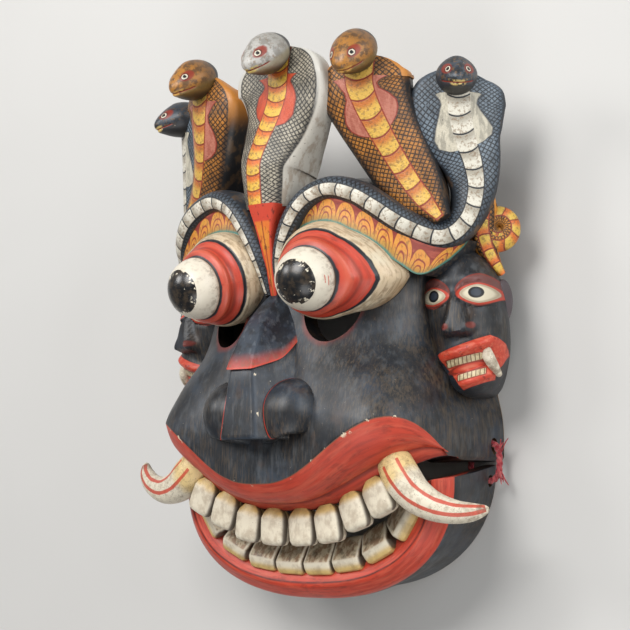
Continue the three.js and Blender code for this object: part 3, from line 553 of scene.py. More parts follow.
def srgb(red, green, blue):
    """A colour as an eye reads it, 0 to 255, as the shader's own numbers"""
    linear = [((c / 255 + 0.055) / 1.055) ** 2.4 if c > 10 else c / 255 / 12.92 for c in (red, green, blue)]
    return (*linear, 1.0)


BLACK = srgb(24, 27, 32)
# Near black: soot and black paint, and also painted shade under parts and in hollows
SOOT_AND_SHADE = srgb(10, 10, 12)
SLATE = srgb(54, 64, 76)
DUST = srgb(96, 80, 60)
CREAM_WOOD = srgb(214, 200, 172)
RED = srgb(190, 62, 40)
DEEP_RED = srgb(116, 38, 27)
ROSE = srgb(212, 112, 84)
IVORY = srgb(214, 204, 182)
DIRT = srgb(118, 88, 56)
YELLOW = srgb(214, 176, 72)
OCHRE = srgb(206, 134, 44)
ORANGE = srgb(206, 92, 36)
CORAL = srgb(192, 76, 42)
BRICK = srgb(134, 46, 30)
TEAL = srgb(40, 116, 106)
PINK = srgb(180, 112, 92)
OLIVE = srgb(128, 112, 48)
WOOD = srgb(126, 96, 62)
DARK_WOOD = srgb(52, 38, 26)
UMBER = srgb(92, 64, 38)
MAUVE = srgb(88, 76, 80)
ROSE_BROWN = srgb(112, 62, 56)
CLOTH = srgb(150, 44, 54)
FADED_CLOTH = srgb(196, 104, 100)
SCUFF = srgb(128, 132, 134)
PALE_SLATE = srgb(150, 156, 160)
EYE_WHITE = srgb(218, 209, 190)
MOUND_CREAM = srgb(204, 190, 162)
MOUND_BROWN = srgb(158, 124, 84)
PETAL_OCHRE = srgb(206, 142, 52)
GUM_YELLOW = srgb(206, 172, 92)
BEVEL_BROWN = srgb(140, 104, 72)
BEVEL_PALE = srgb(206, 190, 160)
TUSK_CREAM = srgb(216, 206, 184)
SIDE_EYE_WHITE = srgb(206, 196, 170)
SIDE_TOOTH = srgb(204, 188, 150)

# A cobra's net is the lines' pitch, width and slope; edging runs along a hood's rim
COBRA_LOOKS = {
    "centre cobra": {
        "ground": srgb(172, 163, 144), "dark": srgb(52, 48, 44), "side": srgb(188, 182, 170), "blotch": CORAL,
        "plate": srgb(216, 172, 66), "shade": ORANGE, "outline": BRICK, "rim": srgb(206, 202, 192),
        "edging": srgb(52, 48, 44), "net": (4.7, 1.5, 1.25), "pitch": 13.0, "soft": 0.3, "low_shade": 0.0,
    },
    "inner cobra": {
        "ground": srgb(178, 116, 46), "dark": srgb(46, 36, 30), "side": srgb(34, 33, 34), "blotch": PINK,
        "plate": srgb(210, 168, 76), "shade": srgb(184, 98, 44), "outline": BRICK, "rim": srgb(204, 132, 50),
        "edging": srgb(46, 36, 30), "net": (4.9, 1.5, 1.1), "pitch": 16.5, "soft": 0.3, "low_shade": 0.0,
    },
    "outer cobra": {
        "ground": srgb(116, 128, 138), "dark": srgb(36, 41, 48), "side": srgb(42, 47, 53),
        "blotch": srgb(196, 188, 168), "plate": srgb(212, 206, 190), "shade": srgb(158, 150, 134),
        "outline": BLACK, "rim": srgb(80, 89, 98), "edging": srgb(82, 94, 106), "net": (4.9, 1.45, 1.2),
        "pitch": 15.0, "soft": 0.9, "low_shade": 0.6,
    },
    "tail": {
        "ground": OCHRE, "dark": srgb(60, 44, 30), "side": OCHRE, "blotch": YELLOW, "plate": YELLOW,
        "shade": ORANGE, "outline": BRICK, "rim": OCHRE, "edging": srgb(60, 44, 30), "net": (4.6, 1.6, 1.1),
        "pitch": 13.0, "soft": 0.3, "low_shade": 0.0,
    },
}
HEAD_LOOKS = {
    "centre": {
        "ground": srgb(176, 173, 166), "mottle": srgb(126, 122, 114), "lip": srgb(206, 180, 100),
        "under": srgb(150, 138, 112),
    },
    "inner": {
        "ground": srgb(166, 112, 48), "mottle": srgb(74, 54, 36), "lip": srgb(206, 156, 80),
        "under": srgb(112, 90, 48),
    },
    "outer": {
        "ground": srgb(58, 66, 75), "mottle": srgb(24, 26, 29), "lip": srgb(206, 178, 110),
        "under": srgb(52, 52, 54),
    },
}

# Pattern sizes in millimetres; RIM_WOOD and CHEEK are a place and its softness in metres
PETAL_PITCH = 18.5
PETAL_ARCHES = [(9.6, 15.5), (6.0, 9.4), (3.2, 5.2)]
PETAL_POWER = 2.4
SOFT_BLOTCH = 0.5
EAR_DROP = 999
RIM_WOOD = (0.0004, 0.0003)
CHEEK = (0.098, 0.024)


class Paint:
    """A painted finish, built up in layers as the paint itself was"""

    def __init__(self, name, colour, guides=()):
        """A new finish in one colour, whose surfaces carry the guides named"""
        self.material = bpy.data.materials.new(name)
        self.material.use_nodes = True
        self.tree = self.material.node_tree
        self.shader = self.tree.nodes["Principled BSDF"]
        self.place = self.node("ShaderNodeTexCoord").outputs["Object"]
        self.names = guides
        self.split = {}
        self.colour = colour
        self.height = None

    def node(self, kind, inputs=(), **settings):
        """A shader node with its settings made and its inputs filled"""
        made = self.tree.nodes.new(kind)
        for key, value in settings.items():
            setattr(made, key, value)
        for socket, value in inputs:
            self.put(value, made.inputs[socket])
        return made

    def put(self, value, socket):
        """Links a node's output or the guide of a name to a socket, or sets it to a plain value"""
        if isinstance(value, str):
            value = self.guide(value)
        if isinstance(value, bpy.types.NodeSocket):
            self.tree.links.new(value, socket)
        else:
            socket.default_value = value

    def guide(self, name):
        """The output that carries a surface's guide"""
        index = self.names.index(name)
        group = index // 3
        if group not in self.split:
            source = self.node("ShaderNodeAttribute", attribute_name=f"guide_{group}")
            self.split[group] = self.node("ShaderNodeSeparateXYZ", [(0, source.outputs["Vector"])])
        return self.split[group].outputs[index % 3]

    def math(self, operation, *values):
        """One step of arithmetic"""
        return self.node("ShaderNodeMath", list(enumerate(values)), operation=operation).outputs[0]

    def vector(self, x, y, z):
        """Three values as one place"""
        return self.node("ShaderNodeCombineXYZ", [(0, x), (1, y), (2, z)]).outputs[0]

    def above(self, value, edge, soft):
        """1 where a value is over an edge, 0 where it is under, soft to each side"""
        inputs = [("Value", value), ("From Min", edge - soft), ("From Max", edge + soft)]
        return self.node("ShaderNodeMapRange", inputs, interpolation_type="SMOOTHSTEP").outputs[0]

    def below(self, value, edge, soft):
        """1 where a value is under an edge, soft to each side"""
        return self.minus(1.0, self.above(value, edge, soft))

    def near(self, value, half, soft):
        """1 within half of where a value is 0, soft to each side"""
        return self.below(self.absolute(value), half, soft)

    def absolute(self, value):
        """A value without its sign"""
        return self.math("ABSOLUTE", value)

    def minus(self, a, b):
        """One value less another"""
        return self.math("SUBTRACT", a, b)

    def between(self, value, low, high, soft):
        """1 where a value is over one edge and under another"""
        return self.both(self.above(value, low, soft), self.below(value, high, soft))

    def both(self, first, *others):
        """All masks at once, as their product"""
        for other in others:
            first = self.times(first, other)
        return first

    def either(self, a, b):
        """The greater of two masks"""
        return self.math("MAXIMUM", a, b)

    def add(self, a, b):
        """The sum of two values"""
        return self.math("ADD", a, b)

    def times(self, a, b):
        """The product of two values"""
        return self.math("MULTIPLY", a, b)

    def cloud(self, size, detail=4.0, stretch=(1, 1, 1), seed=0.0, place=None, unit_length=1000.0):
        """A cloudy pattern around 0.5, with blots about size mm across, drawn out by stretch"""
        shift = (seed * 1.7, seed * 2.3, seed * 3.1)
        inputs = [(0, place or self.place), ("Location", shift), ("Scale", [1 / s for s in stretch])]
        mapped = self.node("ShaderNodeMapping", inputs).outputs[0]
        inputs = [("Vector", mapped), ("Scale", unit_length / size), ("Detail", detail), ("Roughness", 0.6)]
        return self.node("ShaderNodeTexNoise", inputs).outputs["Fac"]

    def roughened(self, value, amount, size, seed=0.0):
        """A value in mm with a hand-drawn waver added"""
        waver = self.minus(self.cloud(size, 2.0, seed=seed), 0.5)
        return self.add(value, self.times(waver, amount * 2))

    def lines(self, value, pitch, width, soft=0.18):
        """Lines of a width, one every pitch"""
        share = self.math("FRACT", self.times(value, 1 / pitch))
        off = self.absolute(self.minus(share, 0.5))
        return self.above(off, 0.5 - width / pitch / 2, soft * width / pitch)

    def lay(self, colour, mask, amount=1):
        """Lays a colour where a mask is, thinned to an amount, and returns the mask"""
        thinned = mask if amount == 1 else self.times(mask, amount)
        mixed = self.node("ShaderNodeMix", [(0, thinned), (6, self.colour), (7, colour)], data_type="RGBA")
        self.colour = mixed.outputs[2]
        return mask

    def blots(self, colour, amount, edge, soft, *cloud, within=None, **shape):
        """Lays a colour in the blots of a cloud, where the cloud is over an edge and inside a mask"""
        blots = self.above(self.cloud(*cloud, **shape), edge, soft)
        if within is not None:
            blots = self.times(within, blots)
        return self.lay(colour, blots, amount)

    def raise_by(self, mask, amount):
        """Adds a mask to the bump, in mm"""
        lifted = self.times(mask, amount)
        self.height = lifted if self.height is None else self.add(self.height, lifted)

    def finish(self, roughness, bump=1.0, specular=0.5, coat=0.0):
        """Joins colour, roughness and bump to the shader and returns the material"""
        self.put(self.colour, self.shader.inputs["Base Color"])
        self.put(roughness, self.shader.inputs["Roughness"])
        self.shader.inputs["Specular IOR Level"].default_value = specular
        self.shader.inputs["Coat Weight"].default_value = coat
        self.shader.inputs["Coat Roughness"].default_value = 0.25
        if self.height is not None:
            inputs = [("Height", self.height), ("Strength", bump), ("Distance", 0.001)]
            self.put(self.node("ShaderNodeBump", inputs).outputs[0], self.shader.inputs["Normal"])
        return self.material


def brush_marks(paint, amount=0.12, seed=0.0):
    """Fine tool marks and paint grain"""
    paint.raise_by(paint.cloud(7, 3.0, (1, 2.5, 1), seed), amount)
    paint.raise_by(paint.cloud(1.1, 2.0, seed=seed + 3), amount * 0.3)


def age_black(paint, seed=0.0):
    """Old black paint: greyed in clouds, scuffed, finely scratched brown along Y, with pale specks"""
    paint.blots(SLATE, 0.65, 0.54, 0.14, 50, 5.0, seed=seed)
    paint.blots(SOOT_AND_SHADE, 0.7, 0.52, 0.10, 24, 5.0, seed=seed + 5)
    scuffed = paint.above(paint.cloud(45, 4.0, seed=seed + 12), 0.50, 0.10)
    paint.blots(SCUFF, 0.16, 0.56, 0.10, 6, 7.0, (0.7, 3, 1), seed + 11, within=scuffed)
    patches = paint.above(paint.cloud(60, 4.0, seed=seed + 2), 0.50, 0.12)
    paint.blots(DUST, 0.4, 0.55, 0.08, 2.6, 6.0, (0.5, 7, 0.8), seed + 1, within=patches)
    paint.blots(DUST, 0.5, 0.64, 0.04, 2.0, 4.0, (0.4, 9, 0.7), seed + 4)
    paint.blots(UMBER, 0.22, 0.62, 0.06, 19, 6.0, (1, 1.8, 1), seed + 9)
    paint.blots(IVORY, 0.7, 0.775, 0.015, 2.2, 2.0, seed=seed + 7)


def glossy_variation(paint, low, high, seed=0.0):
    """Roughness that wanders between two values"""
    return paint.add(low, paint.times(paint.cloud(16, 6.0, seed=seed), high - low))


def age_red(paint, place, seed=0.0):
    """Brick red paint, finely streaked dark and pale along its strokes, and grimy in places"""
    paint.blots(DEEP_RED, 0.42, 0.54, 0.12, 2.6, 6.0, (12, 1, 1), seed, place, 1.0)
    paint.blots(ROSE, 0.28, 0.55, 0.1, 3.4, 6.0, (9, 1, 1), seed + 2, place, 1.0)
    grimy = paint.above(paint.cloud(30, 4.0, seed=seed + 6), 0.54, 0.1)
    paint.blots(SOOT_AND_SHADE, 0.34, 0.56, 0.08, 2.2, 5.0, (4, 1, 1), seed + 4, place, 1.0, within=grimy)
    paint.blots(SOOT_AND_SHADE, 0.6, 0.73, 0.02, 2.4, 3.0, seed=seed + 3)


def saddle_paint(paint):
    """The upper nose: slate, partly its paint and partly a painted sheen, with dark and pale blots, red
    towards its arched end
    """
    saddle = paint.roughened("saddle_edge", 2.0, 12)
    band = paint.below(saddle, 9, 7)
    upper_nose = paint.below("saddle_edge", 85, 3)
    # Slate over the upper nose: partly its paint, partly a painted sheen
    paint.blots(SLATE, 0.7, 0.40, 0.14, 16, 5.0, seed=41, within=upper_nose)
    paint.blots(SOOT_AND_SHADE, 0.6, 0.53, 0.06, 15, 6.0, seed=43, within=upper_nose)
    paint.blots(PALE_SLATE, 0.14, 0.58, 0.05, 5, 6.0, (1, 2, 1), 44, within=upper_nose)
    paint.lay(RED, band, 0.72)
    paint.blots(DUST, 0.5, 0.52, 0.1, 3, 6.0, (1, 2, 1), 4, within=band)
    paint.lay(RED, paint.below(saddle, 2.0, 1.2))


def lip_red(paint):
    """The upper lip's red, with painted shade darkening its carved groove and its gum end and near-black
    painted shade past the gum, as a colour over the black
    """
    ground = paint.colour
    paint.colour = RED
    age_red(paint, paint.vector("around", "below_crest", 0.0))
    # Painted shade: darker red in the groove and towards the gum, near black past the gum
    paint.lay(DEEP_RED, paint.between("lip_share", 0.70, 0.77, 0.03), 0.75)
    paint.lay(DEEP_RED, paint.above("lip_share", 0.9, 0.1), 0.5)
    paint.lay(SOOT_AND_SHADE, paint.above("lip_share", 1.08, 0.06))
    red = paint.colour
    paint.colour = ground
    return red


def face_paint():
    """The big face: aged black, red at the eye holes, nose lines and lip, bare wood at the back rim"""
    paint = Paint("face paint", BLACK, FACE_GUIDES)
    age_black(paint)
    near_hole = paint.below(paint.roughened("hole_edge", 3, 14), 3, 3)
    paint.blots(BRICK, 0.7, 0.44, 0.2, 20, 4.0, seed=3, within=near_hole)
    saddle_paint(paint)
    paint.lay(RED, paint.between("nose_gap", 0.0, 1.7, 0.5), 0.8)
    # Slate along the nose's ridge edges: partly rubbed paint, partly a painted highlight on the edge
    paint.lay(SLATE, paint.below("ridge_edge", 1.5, 1.5), 0.55)
    paint.blots(CREAM_WOOD, 1.0, 0.645, 0.01, 11, 4.0, seed=21, within=paint.below("ridge_edge", 2.6, 0.5))
    sideways, _, height = paint.node("ShaderNodeSeparateXYZ", [(0, paint.place)]).outputs
    cheek = paint.above(paint.absolute(sideways), *CHEEK)
    rubbed = paint.both(cheek, paint.above(paint.cloud(30, 5.0, seed=33), 0.47, 0.1))
    paint.blots(DUST, 0.42, 0.50, 0.1, 2.8, 6.0, (0.6, 6, 0.9), 31, within=rubbed)
    lip = paint.above(paint.roughened("below_crest", 0.4, 8), 0, 0.3)
    paint.lay(lip_red(paint), lip)
    paint.lay(DUST, paint.near("below_crest", 0.35, 0.3), 0.55)
    paint.blots(CREAM_WOOD, 1.0, 0.63, 0.02, 9, 5.0, seed=1.0, within=paint.near("below_crest", 1.1, 0.77))
    paint.lay(WOOD, paint.below(height, *RIM_WOOD))
    paint.raise_by(lip, -0.25)
    brush_marks(paint, 0.2)
    rough = paint.add(glossy_variation(paint, 0.26, 0.62), paint.times(lip, 0.06))
    return paint.finish(rough, 0.6, 0.5)


def dark_inside():
    """Near-black painted shade on the walls of holes cut through the face, with blots of dark wood"""
    paint = Paint("dark inside", SOOT_AND_SHADE)
    paint.blots(DARK_WOOD, 0.5, 0.55, 0.1, 9, 4.0)
    return paint.finish(0.8, 0.0, 0.2)


def bare_wood():
    """The hollow's unpainted, smoke-darkened wood"""
    paint = Paint("bare wood", WOOD)
    paint.blots(DARK_WOOD, 0.85, 0.46, 0.14, 26, 5.0, (1, 6, 1))
    paint.blots(SOOT_AND_SHADE, 0.75, 0.42, 0.15, 60, 4.0, seed=3)
    paint.raise_by(paint.cloud(9, 3.0, (1, 4, 1)), 0.5)
    return paint.finish(0.75, 1.0, 0.3)


def eye_red(paint):
    """The eye's red ring, streaked round the eye, with a painted highlight on its roll and painted shade in
    the hollow beyond it, as a colour over the white
    """
    white = paint.colour
    paint.colour = RED
    age_red(paint, paint.vector(paint.times("turn", 0.6), "back", 0.0), 2.0)
    # Painted highlight: paler rose along the roll
    paint.lay(ROSE, paint.between("back", 19.5, 24.5, 1.4), 0.3)
    # Painted shade: darker red in the hollow
    paint.lay(DEEP_RED, paint.between("back", 27.2, 29.2, 0.8), 0.5)
    red = paint.colour
    paint.colour = white
    return red


def mound_paint(paint, wavy):
    """The cream mound behind the eye, ochre in clouds and grimy in streaks round it"""
    mound = paint.lay(MOUND_CREAM, paint.above(wavy, 35, 0.3))
    paint.blots(OCHRE, 0.16, 0.48, 0.14, 24, 4.0, seed=8, within=mound)
    paint.lay(MOUND_BROWN, paint.above(wavy, 52, 8), 0.5)
    around = paint.vector(paint.times("turn", 0.9), "back", 0.0)
    paint.blots(DIRT, 0.5, 0.54, 0.08, 2.6, 6.0, (5, 1, 1), 9, around, 1.0, within=mound)
    paint.blots(UMBER, 0.45, 0.60, 0.06, 9, 6.0, seed=13, within=mound)


def eye_paint():
    """A bulging eye: chipped black pupil, grimy white, red ring between black lines, cream mound"""
    paint = Paint("eye paint", EYE_WHITE, EYE_GUIDES)
    wavy = paint.roughened("back", 0.5, 10)
    paint.blots(DIRT, 0.3, 0.60, 0.1, 6, 6.0)
    paint.lay(DIRT, paint.above(wavy, 15.5, 2), 0.45)
    paint.blots(UMBER, 0.45, 0.54, 0.06, 5, 6.0, seed=23, within=paint.above(wavy, 9.5, 5))
    paint.lay(RED, paint.both(paint.below("stroke", 0, 0.3), paint.below(paint.cloud(3), 0.6, 0.1)))
    red = eye_red(paint)
    mound_paint(paint, wavy)
    paint.lay(red, paint.between(wavy, 18.2, 35.2, 0.25))
    paint.lay(UMBER, paint.between(wavy, 16.9, 18.0, 0.3))
    lines = paint.either(paint.between(wavy, 17.4, 18.6, 0.25), paint.between(wavy, 33.8, 36.6, 0.3))
    paint.lay(BLACK, lines)
    pupil = paint.lay(SOOT_AND_SHADE, paint.below(wavy, -1.4, 0.2))
    paint.blots(DUST, 0.3, 0.52, 0.1, 5, 6.0, seed=3, within=pupil)
    paint.blots(IVORY, 1.0, 0.575, 0.012, 5, 5.0, seed=11, within=paint.between(wavy, -4.2, -0.6, 0.8))
    paint.blots(IVORY, 1.0, 0.735, 0.012, 2.4, 2.0, seed=17, within=pupil)
    paint.lay(SOOT_AND_SHADE, paint.above(wavy, 60.5, 1.0))
    brush_marks(paint, 0.1)
    rough = paint.minus(glossy_variation(paint, 0.34, 0.6, 2), paint.times(pupil, 0.18))
    return paint.finish(rough, 0.5, 0.5, 0.15)


def petal_arches(paint):
    """Distances from a petal's edge and from the two arches inside it, in a row along the brow"""
    drop = paint.math("MAXIMUM", paint.minus("eye_gap", 1.0), 0.0)
    share = paint.math("FRACT", paint.times("along", 1 / PETAL_PITCH))
    off_middle = paint.times(paint.absolute(paint.minus(share, 0.5)), PETAL_PITCH)
    arches = []
    for half_width, height in PETAL_ARCHES:
        across = paint.math("POWER", paint.times(off_middle, 1 / half_width), PETAL_POWER)
        up = paint.math("POWER", paint.times(drop, 1 / height), PETAL_POWER)
        reach = paint.math("POWER", paint.add(across, up), 1 / PETAL_POWER)
        arches.append(paint.times(paint.minus(reach, 1.0), half_width))
    return arches


def brow_paint():
    """A brow: ochre petals on brick red, a red band with gold above, a teal line at the eye with olive and
    near-black painted shade above it
    """
    paint = Paint("brow paint", BRICK, BROW_GUIDES)
    age_red(paint, paint.vector("along", "from_top", 0.0), 5.0)
    arches = petal_arches(paint)
    petal = paint.lay(PETAL_OCHRE, paint.below(arches[0], 0.0, 0.3))
    paint.blots(ORANGE, 0.25, 0.5, 0.1, 5, 5.0, within=petal)
    paint.blots(UMBER, 0.5, 0.56, 0.05, 1.9, 5.0, (0.8, 2.6, 1), 15, within=petal)
    for edge in arches:
        paint.lay(BRICK, paint.near(edge, 0.38, 0.25))
    paint.lay(RED, paint.below(paint.roughened("from_top", 0.5, 9), 4.2, 0.4))
    paint.blots(YELLOW, 0.8, 0.5, 0.04, 10, 4.0, seed=6, within=paint.between("from_top", 1.6, 2.4, 0.4))
    # Painted shade where the brow meets the eye's mound: olive all along, near black towards the inner end
    paint.lay(OLIVE, paint.below(paint.roughened("eye_gap", 2, 9), 4.0, 3.0), 0.55)
    painted_shade = paint.both(paint.below("along", 62, 26), paint.below(paint.roughened("eye_gap", 3, 9), 6.5, 5))
    paint.lay(SOOT_AND_SHADE, painted_shade, 0.75)
    paint.lay(TEAL, paint.below(paint.roughened("eye_gap", 1.0, 7), 1.3, 1.1), 0.9)
    under = paint.lay(BLACK, paint.below("eye_gap", -1.8, 0.5))
    paint.blots(DUST, 0.4, 0.54, 0.1, 4, 5.0, seed=19, within=under)
    paint.blots(SOOT_AND_SHADE, 0.5, 0.66, 0.04, 3, 4.0, seed=12)
    paint.lay(BLACK, paint.below("from_top", 0.5, 0.5), 0.8)
    brush_marks(paint, 0.1)
    return paint.finish(glossy_variation(paint, 0.38, 0.62), 0.5)


def wedge_paint():
    """The wedge between the brows: orange with a dark middle line, red edges and a red top"""
    paint = Paint("wedge paint", OCHRE, WEDGE_GUIDES)
    paint.blots(ORANGE, 0.7, 0.5, 0.12, 8, 4.0, (1, 3, 1))
    paint.lay(RED, paint.below("edge", 2.6, 0.6))
    paint.lay(BRICK, paint.near("across", 0.6, 0.3), 0.8)
    paint.lay(RED, paint.above("level", 66, 1.0))
    paint.blots(SOOT_AND_SHADE, 0.6, 0.62, 0.04, 3, 3.0, (1, 2, 1), 5)
    brush_marks(paint, 0.1)
    return paint.finish(glossy_variation(paint, 0.4, 0.65), 0.5)


def scale_net(paint, pitch, width, slope):
    """Two sets of slanting lines that cross, as a snake's scales are painted"""
    waver = paint.times(paint.minus(paint.cloud(14, 3.0), 0.5), 2.4)
    rise = paint.add(paint.times("along", slope), waver)
    one = paint.lines(paint.add(rise, "across"), pitch, width, 0.35)
    other = paint.lines(paint.minus(rise, "across"), pitch, width, 0.35)
    return paint.times(paint.either(one, other), paint.above(paint.cloud(2.5, 3.0, seed=5), 0.36, 0.1))


def plates(paint, pitch, curve):
    """How far up its plate a place of the belly is, from 0 to 1"""
    sag = paint.times(paint.math("POWER", "across", 2), curve)
    return paint.math("FRACT", paint.times(paint.minus("along", sag), 1 / pitch))


def hood_blotch(paint, look):
    """The winged blotch on a hood, shaded round its edge and streaked inside"""
    around = paint.both(paint.below("blotch", 2.2, 1.6), paint.above("band", 1.0, 0.5))
    paint.lay(look["dark"], around, 0.7)
    wings = paint.lay(look["blotch"], paint.below("blotch", 0, look["soft"]))
    paint.blots(look["outline"], 0.4, 0.52, 0.08, 4, 6.0, (1, 3, 1), 6, within=wings)
    if look["soft"] < SOFT_BLOTCH:
        paint.lay(look["outline"], paint.near("blotch", 0.55, 0.35))


def belly_band(paint, look):
    """The belly's plates, shaded towards their tops, with seams and an outline; returns the seams"""
    step = plates(paint, look["pitch"], 0.035)
    band = paint.lay(look["plate"], paint.below("band", 0, 0.3))
    paint.lay(look["shade"], paint.both(band, paint.above(step, 0.66, 0.24), 0.9))
    paint.blots(DIRT, 0.6, 0.56, 0.06, 2.6, 6.0, seed=2, within=band)
    at_seam = paint.near(paint.minus(step, 0.05), 0.05, 0.03)
    seams = paint.lay(look["outline"], paint.both(band, at_seam))
    outline = paint.near("band", 0.5, 0.35)
    if look["soft"] > SOFT_BLOTCH:
        outline = paint.both(outline, paint.above("blotch", 0, 0.3))
    paint.lay(look["outline"], outline)
    return seams


def cobra_paint(name, look):
    """A cobra: netted scales, a belly band of plates, a blotch on the hood and plain sides and back"""
    paint = Paint(name, look["ground"], SNAKE_GUIDES)
    paint.blots(look["dark"], 0.5, 0.52, 0.12, 18, 5.0, seed=1)
    paint.blots(look["dark"], 0.5, 0.58, 0.06, 3, 6.0, (0.6, 3, 1), 4)
    paint.lay(look["edging"], paint.below("edge", 2.2, 1.6), 0.8)
    paint.lay(look["dark"], paint.times(paint.below("level", 100, 22), look["low_shade"]))
    mesh = paint.lay(SOOT_AND_SHADE, paint.times(scale_net(paint, *look["net"]), 0.92))
    hood_blotch(paint, look)
    seams = belly_band(paint, look)
    sides = paint.lay(look["side"], paint.below("edge", -0.6, 0.5))
    paint.blots(DIRT, 0.45, 0.56, 0.07, 8, 6.0, (1, 2.5, 1), 7, within=sides)
    paint.blots(SOOT_AND_SHADE, 0.6, 0.68, 0.03, 2.4, 4.0, seed=8, within=sides)
    paint.lay(look["rim"], paint.both(paint.above("level", 170, 12), paint.below("edge", 0.6, 0.6), 0.85))
    paint.blots(SOOT_AND_SHADE, 0.6, 0.70, 0.03, 2.6, 4.0, seed=9)
    paint.raise_by(paint.both(mesh, paint.above("edge", 0, 0.3)), -0.2)
    paint.raise_by(seams, -0.5)
    brush_marks(paint)
    return paint.finish(glossy_variation(paint, 0.34, 0.62), 0.6)


def head_paint(name, look):
    """A cobra's head: ringed eyes in a red patch, a short lip line, a shaded jaw, and near-black painted
    shade under the head and in a band at its nape, where it meets the hood
    """
    paint = Paint(name, look["ground"], HEAD_GUIDES)
    paint.blots(look["mottle"], 0.8, 0.52, 0.06, 6, 6.0)
    paint.blots(DIRT, 0.6, 0.57, 0.06, 3, 6.0, seed=4)
    paint.lay(look["mottle"], paint.below("ahead", 0.1, 0.4), 0.6)
    paint.lay(look["under"], paint.below("mouth", 0.5, 2.5), 0.8)
    # Painted shade under the head
    paint.lay(SOOT_AND_SHADE, paint.below("up", -0.62, 0.2), 0.85)
    paint.lay(BRICK, paint.below("patch", 0, 0.9), 0.9)
    paint.lay(SOOT_AND_SHADE, paint.below("eye", 3.8, 0.5), 0.7)
    snout = paint.both(paint.above("ahead", 0.80, 0.05), paint.near("mouth", 3.2, 1.2))
    paint.blots(look["lip"], 1.0, 0.45, 0.05, 5, 4.0, seed=6, within=snout)
    slit = paint.both(paint.near("mouth", 0.6, 0.3), paint.above("ahead", 0.45, 0.08))
    paint.lay(BRICK, slit)
    paint.lay(IVORY, paint.below("eye", 2.9, 0.3))
    paint.lay(SOOT_AND_SHADE, paint.below("eye", 2.0, 0.25))
    paint.blots(IVORY, 0.8, 0.74, 0.015, 2.4, 3.0, seed=14)
    # Painted shade in a band at the nape, where the head meets the hood
    paint.lay(SOOT_AND_SHADE, paint.below("ahead", -0.52, 0.06))
    paint.raise_by(slit, -0.6)
    brush_marks(paint)
    return paint.finish(glossy_variation(paint, 0.30, 0.55), 0.6)


def upper_tooth_paint():
    """Ivory with a yellow gum end and dark gaps"""
    paint = Paint("upper tooth paint", IVORY, TOOTH_GUIDES)
    gum = paint.above(paint.roughened("up", 0.12, 8), 0.55, 0.22)
    return finish_tooth(paint, gum, (0.88, 0.08))


def lower_tooth_paint():
    """Ivory below, brown with pale streaks on the bevel above"""
    paint = Paint("lower tooth paint", IVORY, TOOTH_GUIDES)
    bevel = paint.above("up", -0.36, 0.1)

    def bevelled():
        """The bevel's own layers"""
        paint.lay(BEVEL_BROWN, bevel, 0.85)
        paint.blots(BEVEL_PALE, 0.85, 0.50, 0.08, 4.5, 6.0, (1, 2.4, 1), 5, within=bevel)
        paint.blots(DARK_WOOD, 0.5, 0.57, 0.07, 6, 6.0, seed=8, within=bevel)
        paint.lay(IVORY, paint.both(bevel, paint.between("out", 0.80, 0.93, 0.05), 0.7))
        paint.lay(IVORY, paint.between("up", -0.44, -0.32, 0.05), 0.6)

    return finish_tooth(paint, paint.below("up", -0.74, 0.2), (0.95, 0.05), bevelled)


def finish_tooth(paint, gum, gap, more=None):
    """What all teeth share: a yellow gum end, stains and dark wood in the gaps"""
    paint.lay(GUM_YELLOW, gum, 0.85)
    paint.blots(DIRT, 0.36, 0.53, 0.12, 6.5, 6.0, (1, 1.4, 1))
    paint.blots(UMBER, 0.45, 0.68, 0.03, 1.8, 4.0, seed=4)
    if more:
        more()
    paint.lay(DARK_WOOD, paint.above("out", *gap), 0.85)
    brush_marks(paint, 0.1)
    return paint.finish(glossy_variation(paint, 0.34, 0.55), 0.5)


def tusk_paint():
    """Cream with a yellow root, two red stripes, crackle and a browner tip"""
    paint = Paint("tusk paint", TUSK_CREAM, TUSK_GUIDES)
    paint.lay(YELLOW, paint.below(paint.roughened("along", 4, 12), 19, 4), 0.6)
    paint.blots(DIRT, 0.36, 0.56, 0.1, 6, 6.0)
    paint.lay(RED, paint.below(paint.roughened("stripe", 0.4, 9), 0, 0.25), 0.9)
    paint.lay(UMBER, paint.near(paint.minus(paint.cloud(9, 6.0, seed=6), 0.5), 0.006, 0.006), 0.6)
    paint.blots(UMBER, 0.6, 0.5, 0.1, 5, 5.0, seed=3, within=paint.above("along", 84, 14))
    brush_marks(paint, 0.1)
    return paint.finish(glossy_variation(paint, 0.34, 0.55), 0.5)


def side_eye_paint(paint):
    """A small face's eyes: rose-brown lids, a red rim, a white browner towards its edge and a black pupil"""
    paint.lay(ROSE_BROWN, paint.below("lid", 0, 0.8), 0.85)
    paint.lay(BRICK, paint.near("lid", 0.6, 0.4), 0.7)
    paint.lay(SIDE_EYE_WHITE, paint.below("white", 0, 0.25))
    paint.lay(DIRT, paint.between("white", -1.4, 0, 0.8), 0.55)
    paint.lay(RED, paint.between("white", 0.1, 1.5, 0.3), 0.85)
    paint.lay(SOOT_AND_SHADE, paint.below("pupil", 0, 0.25))
    paint.lay(SLATE, paint.below("pupil", -1.6, 0.5), 0.6)


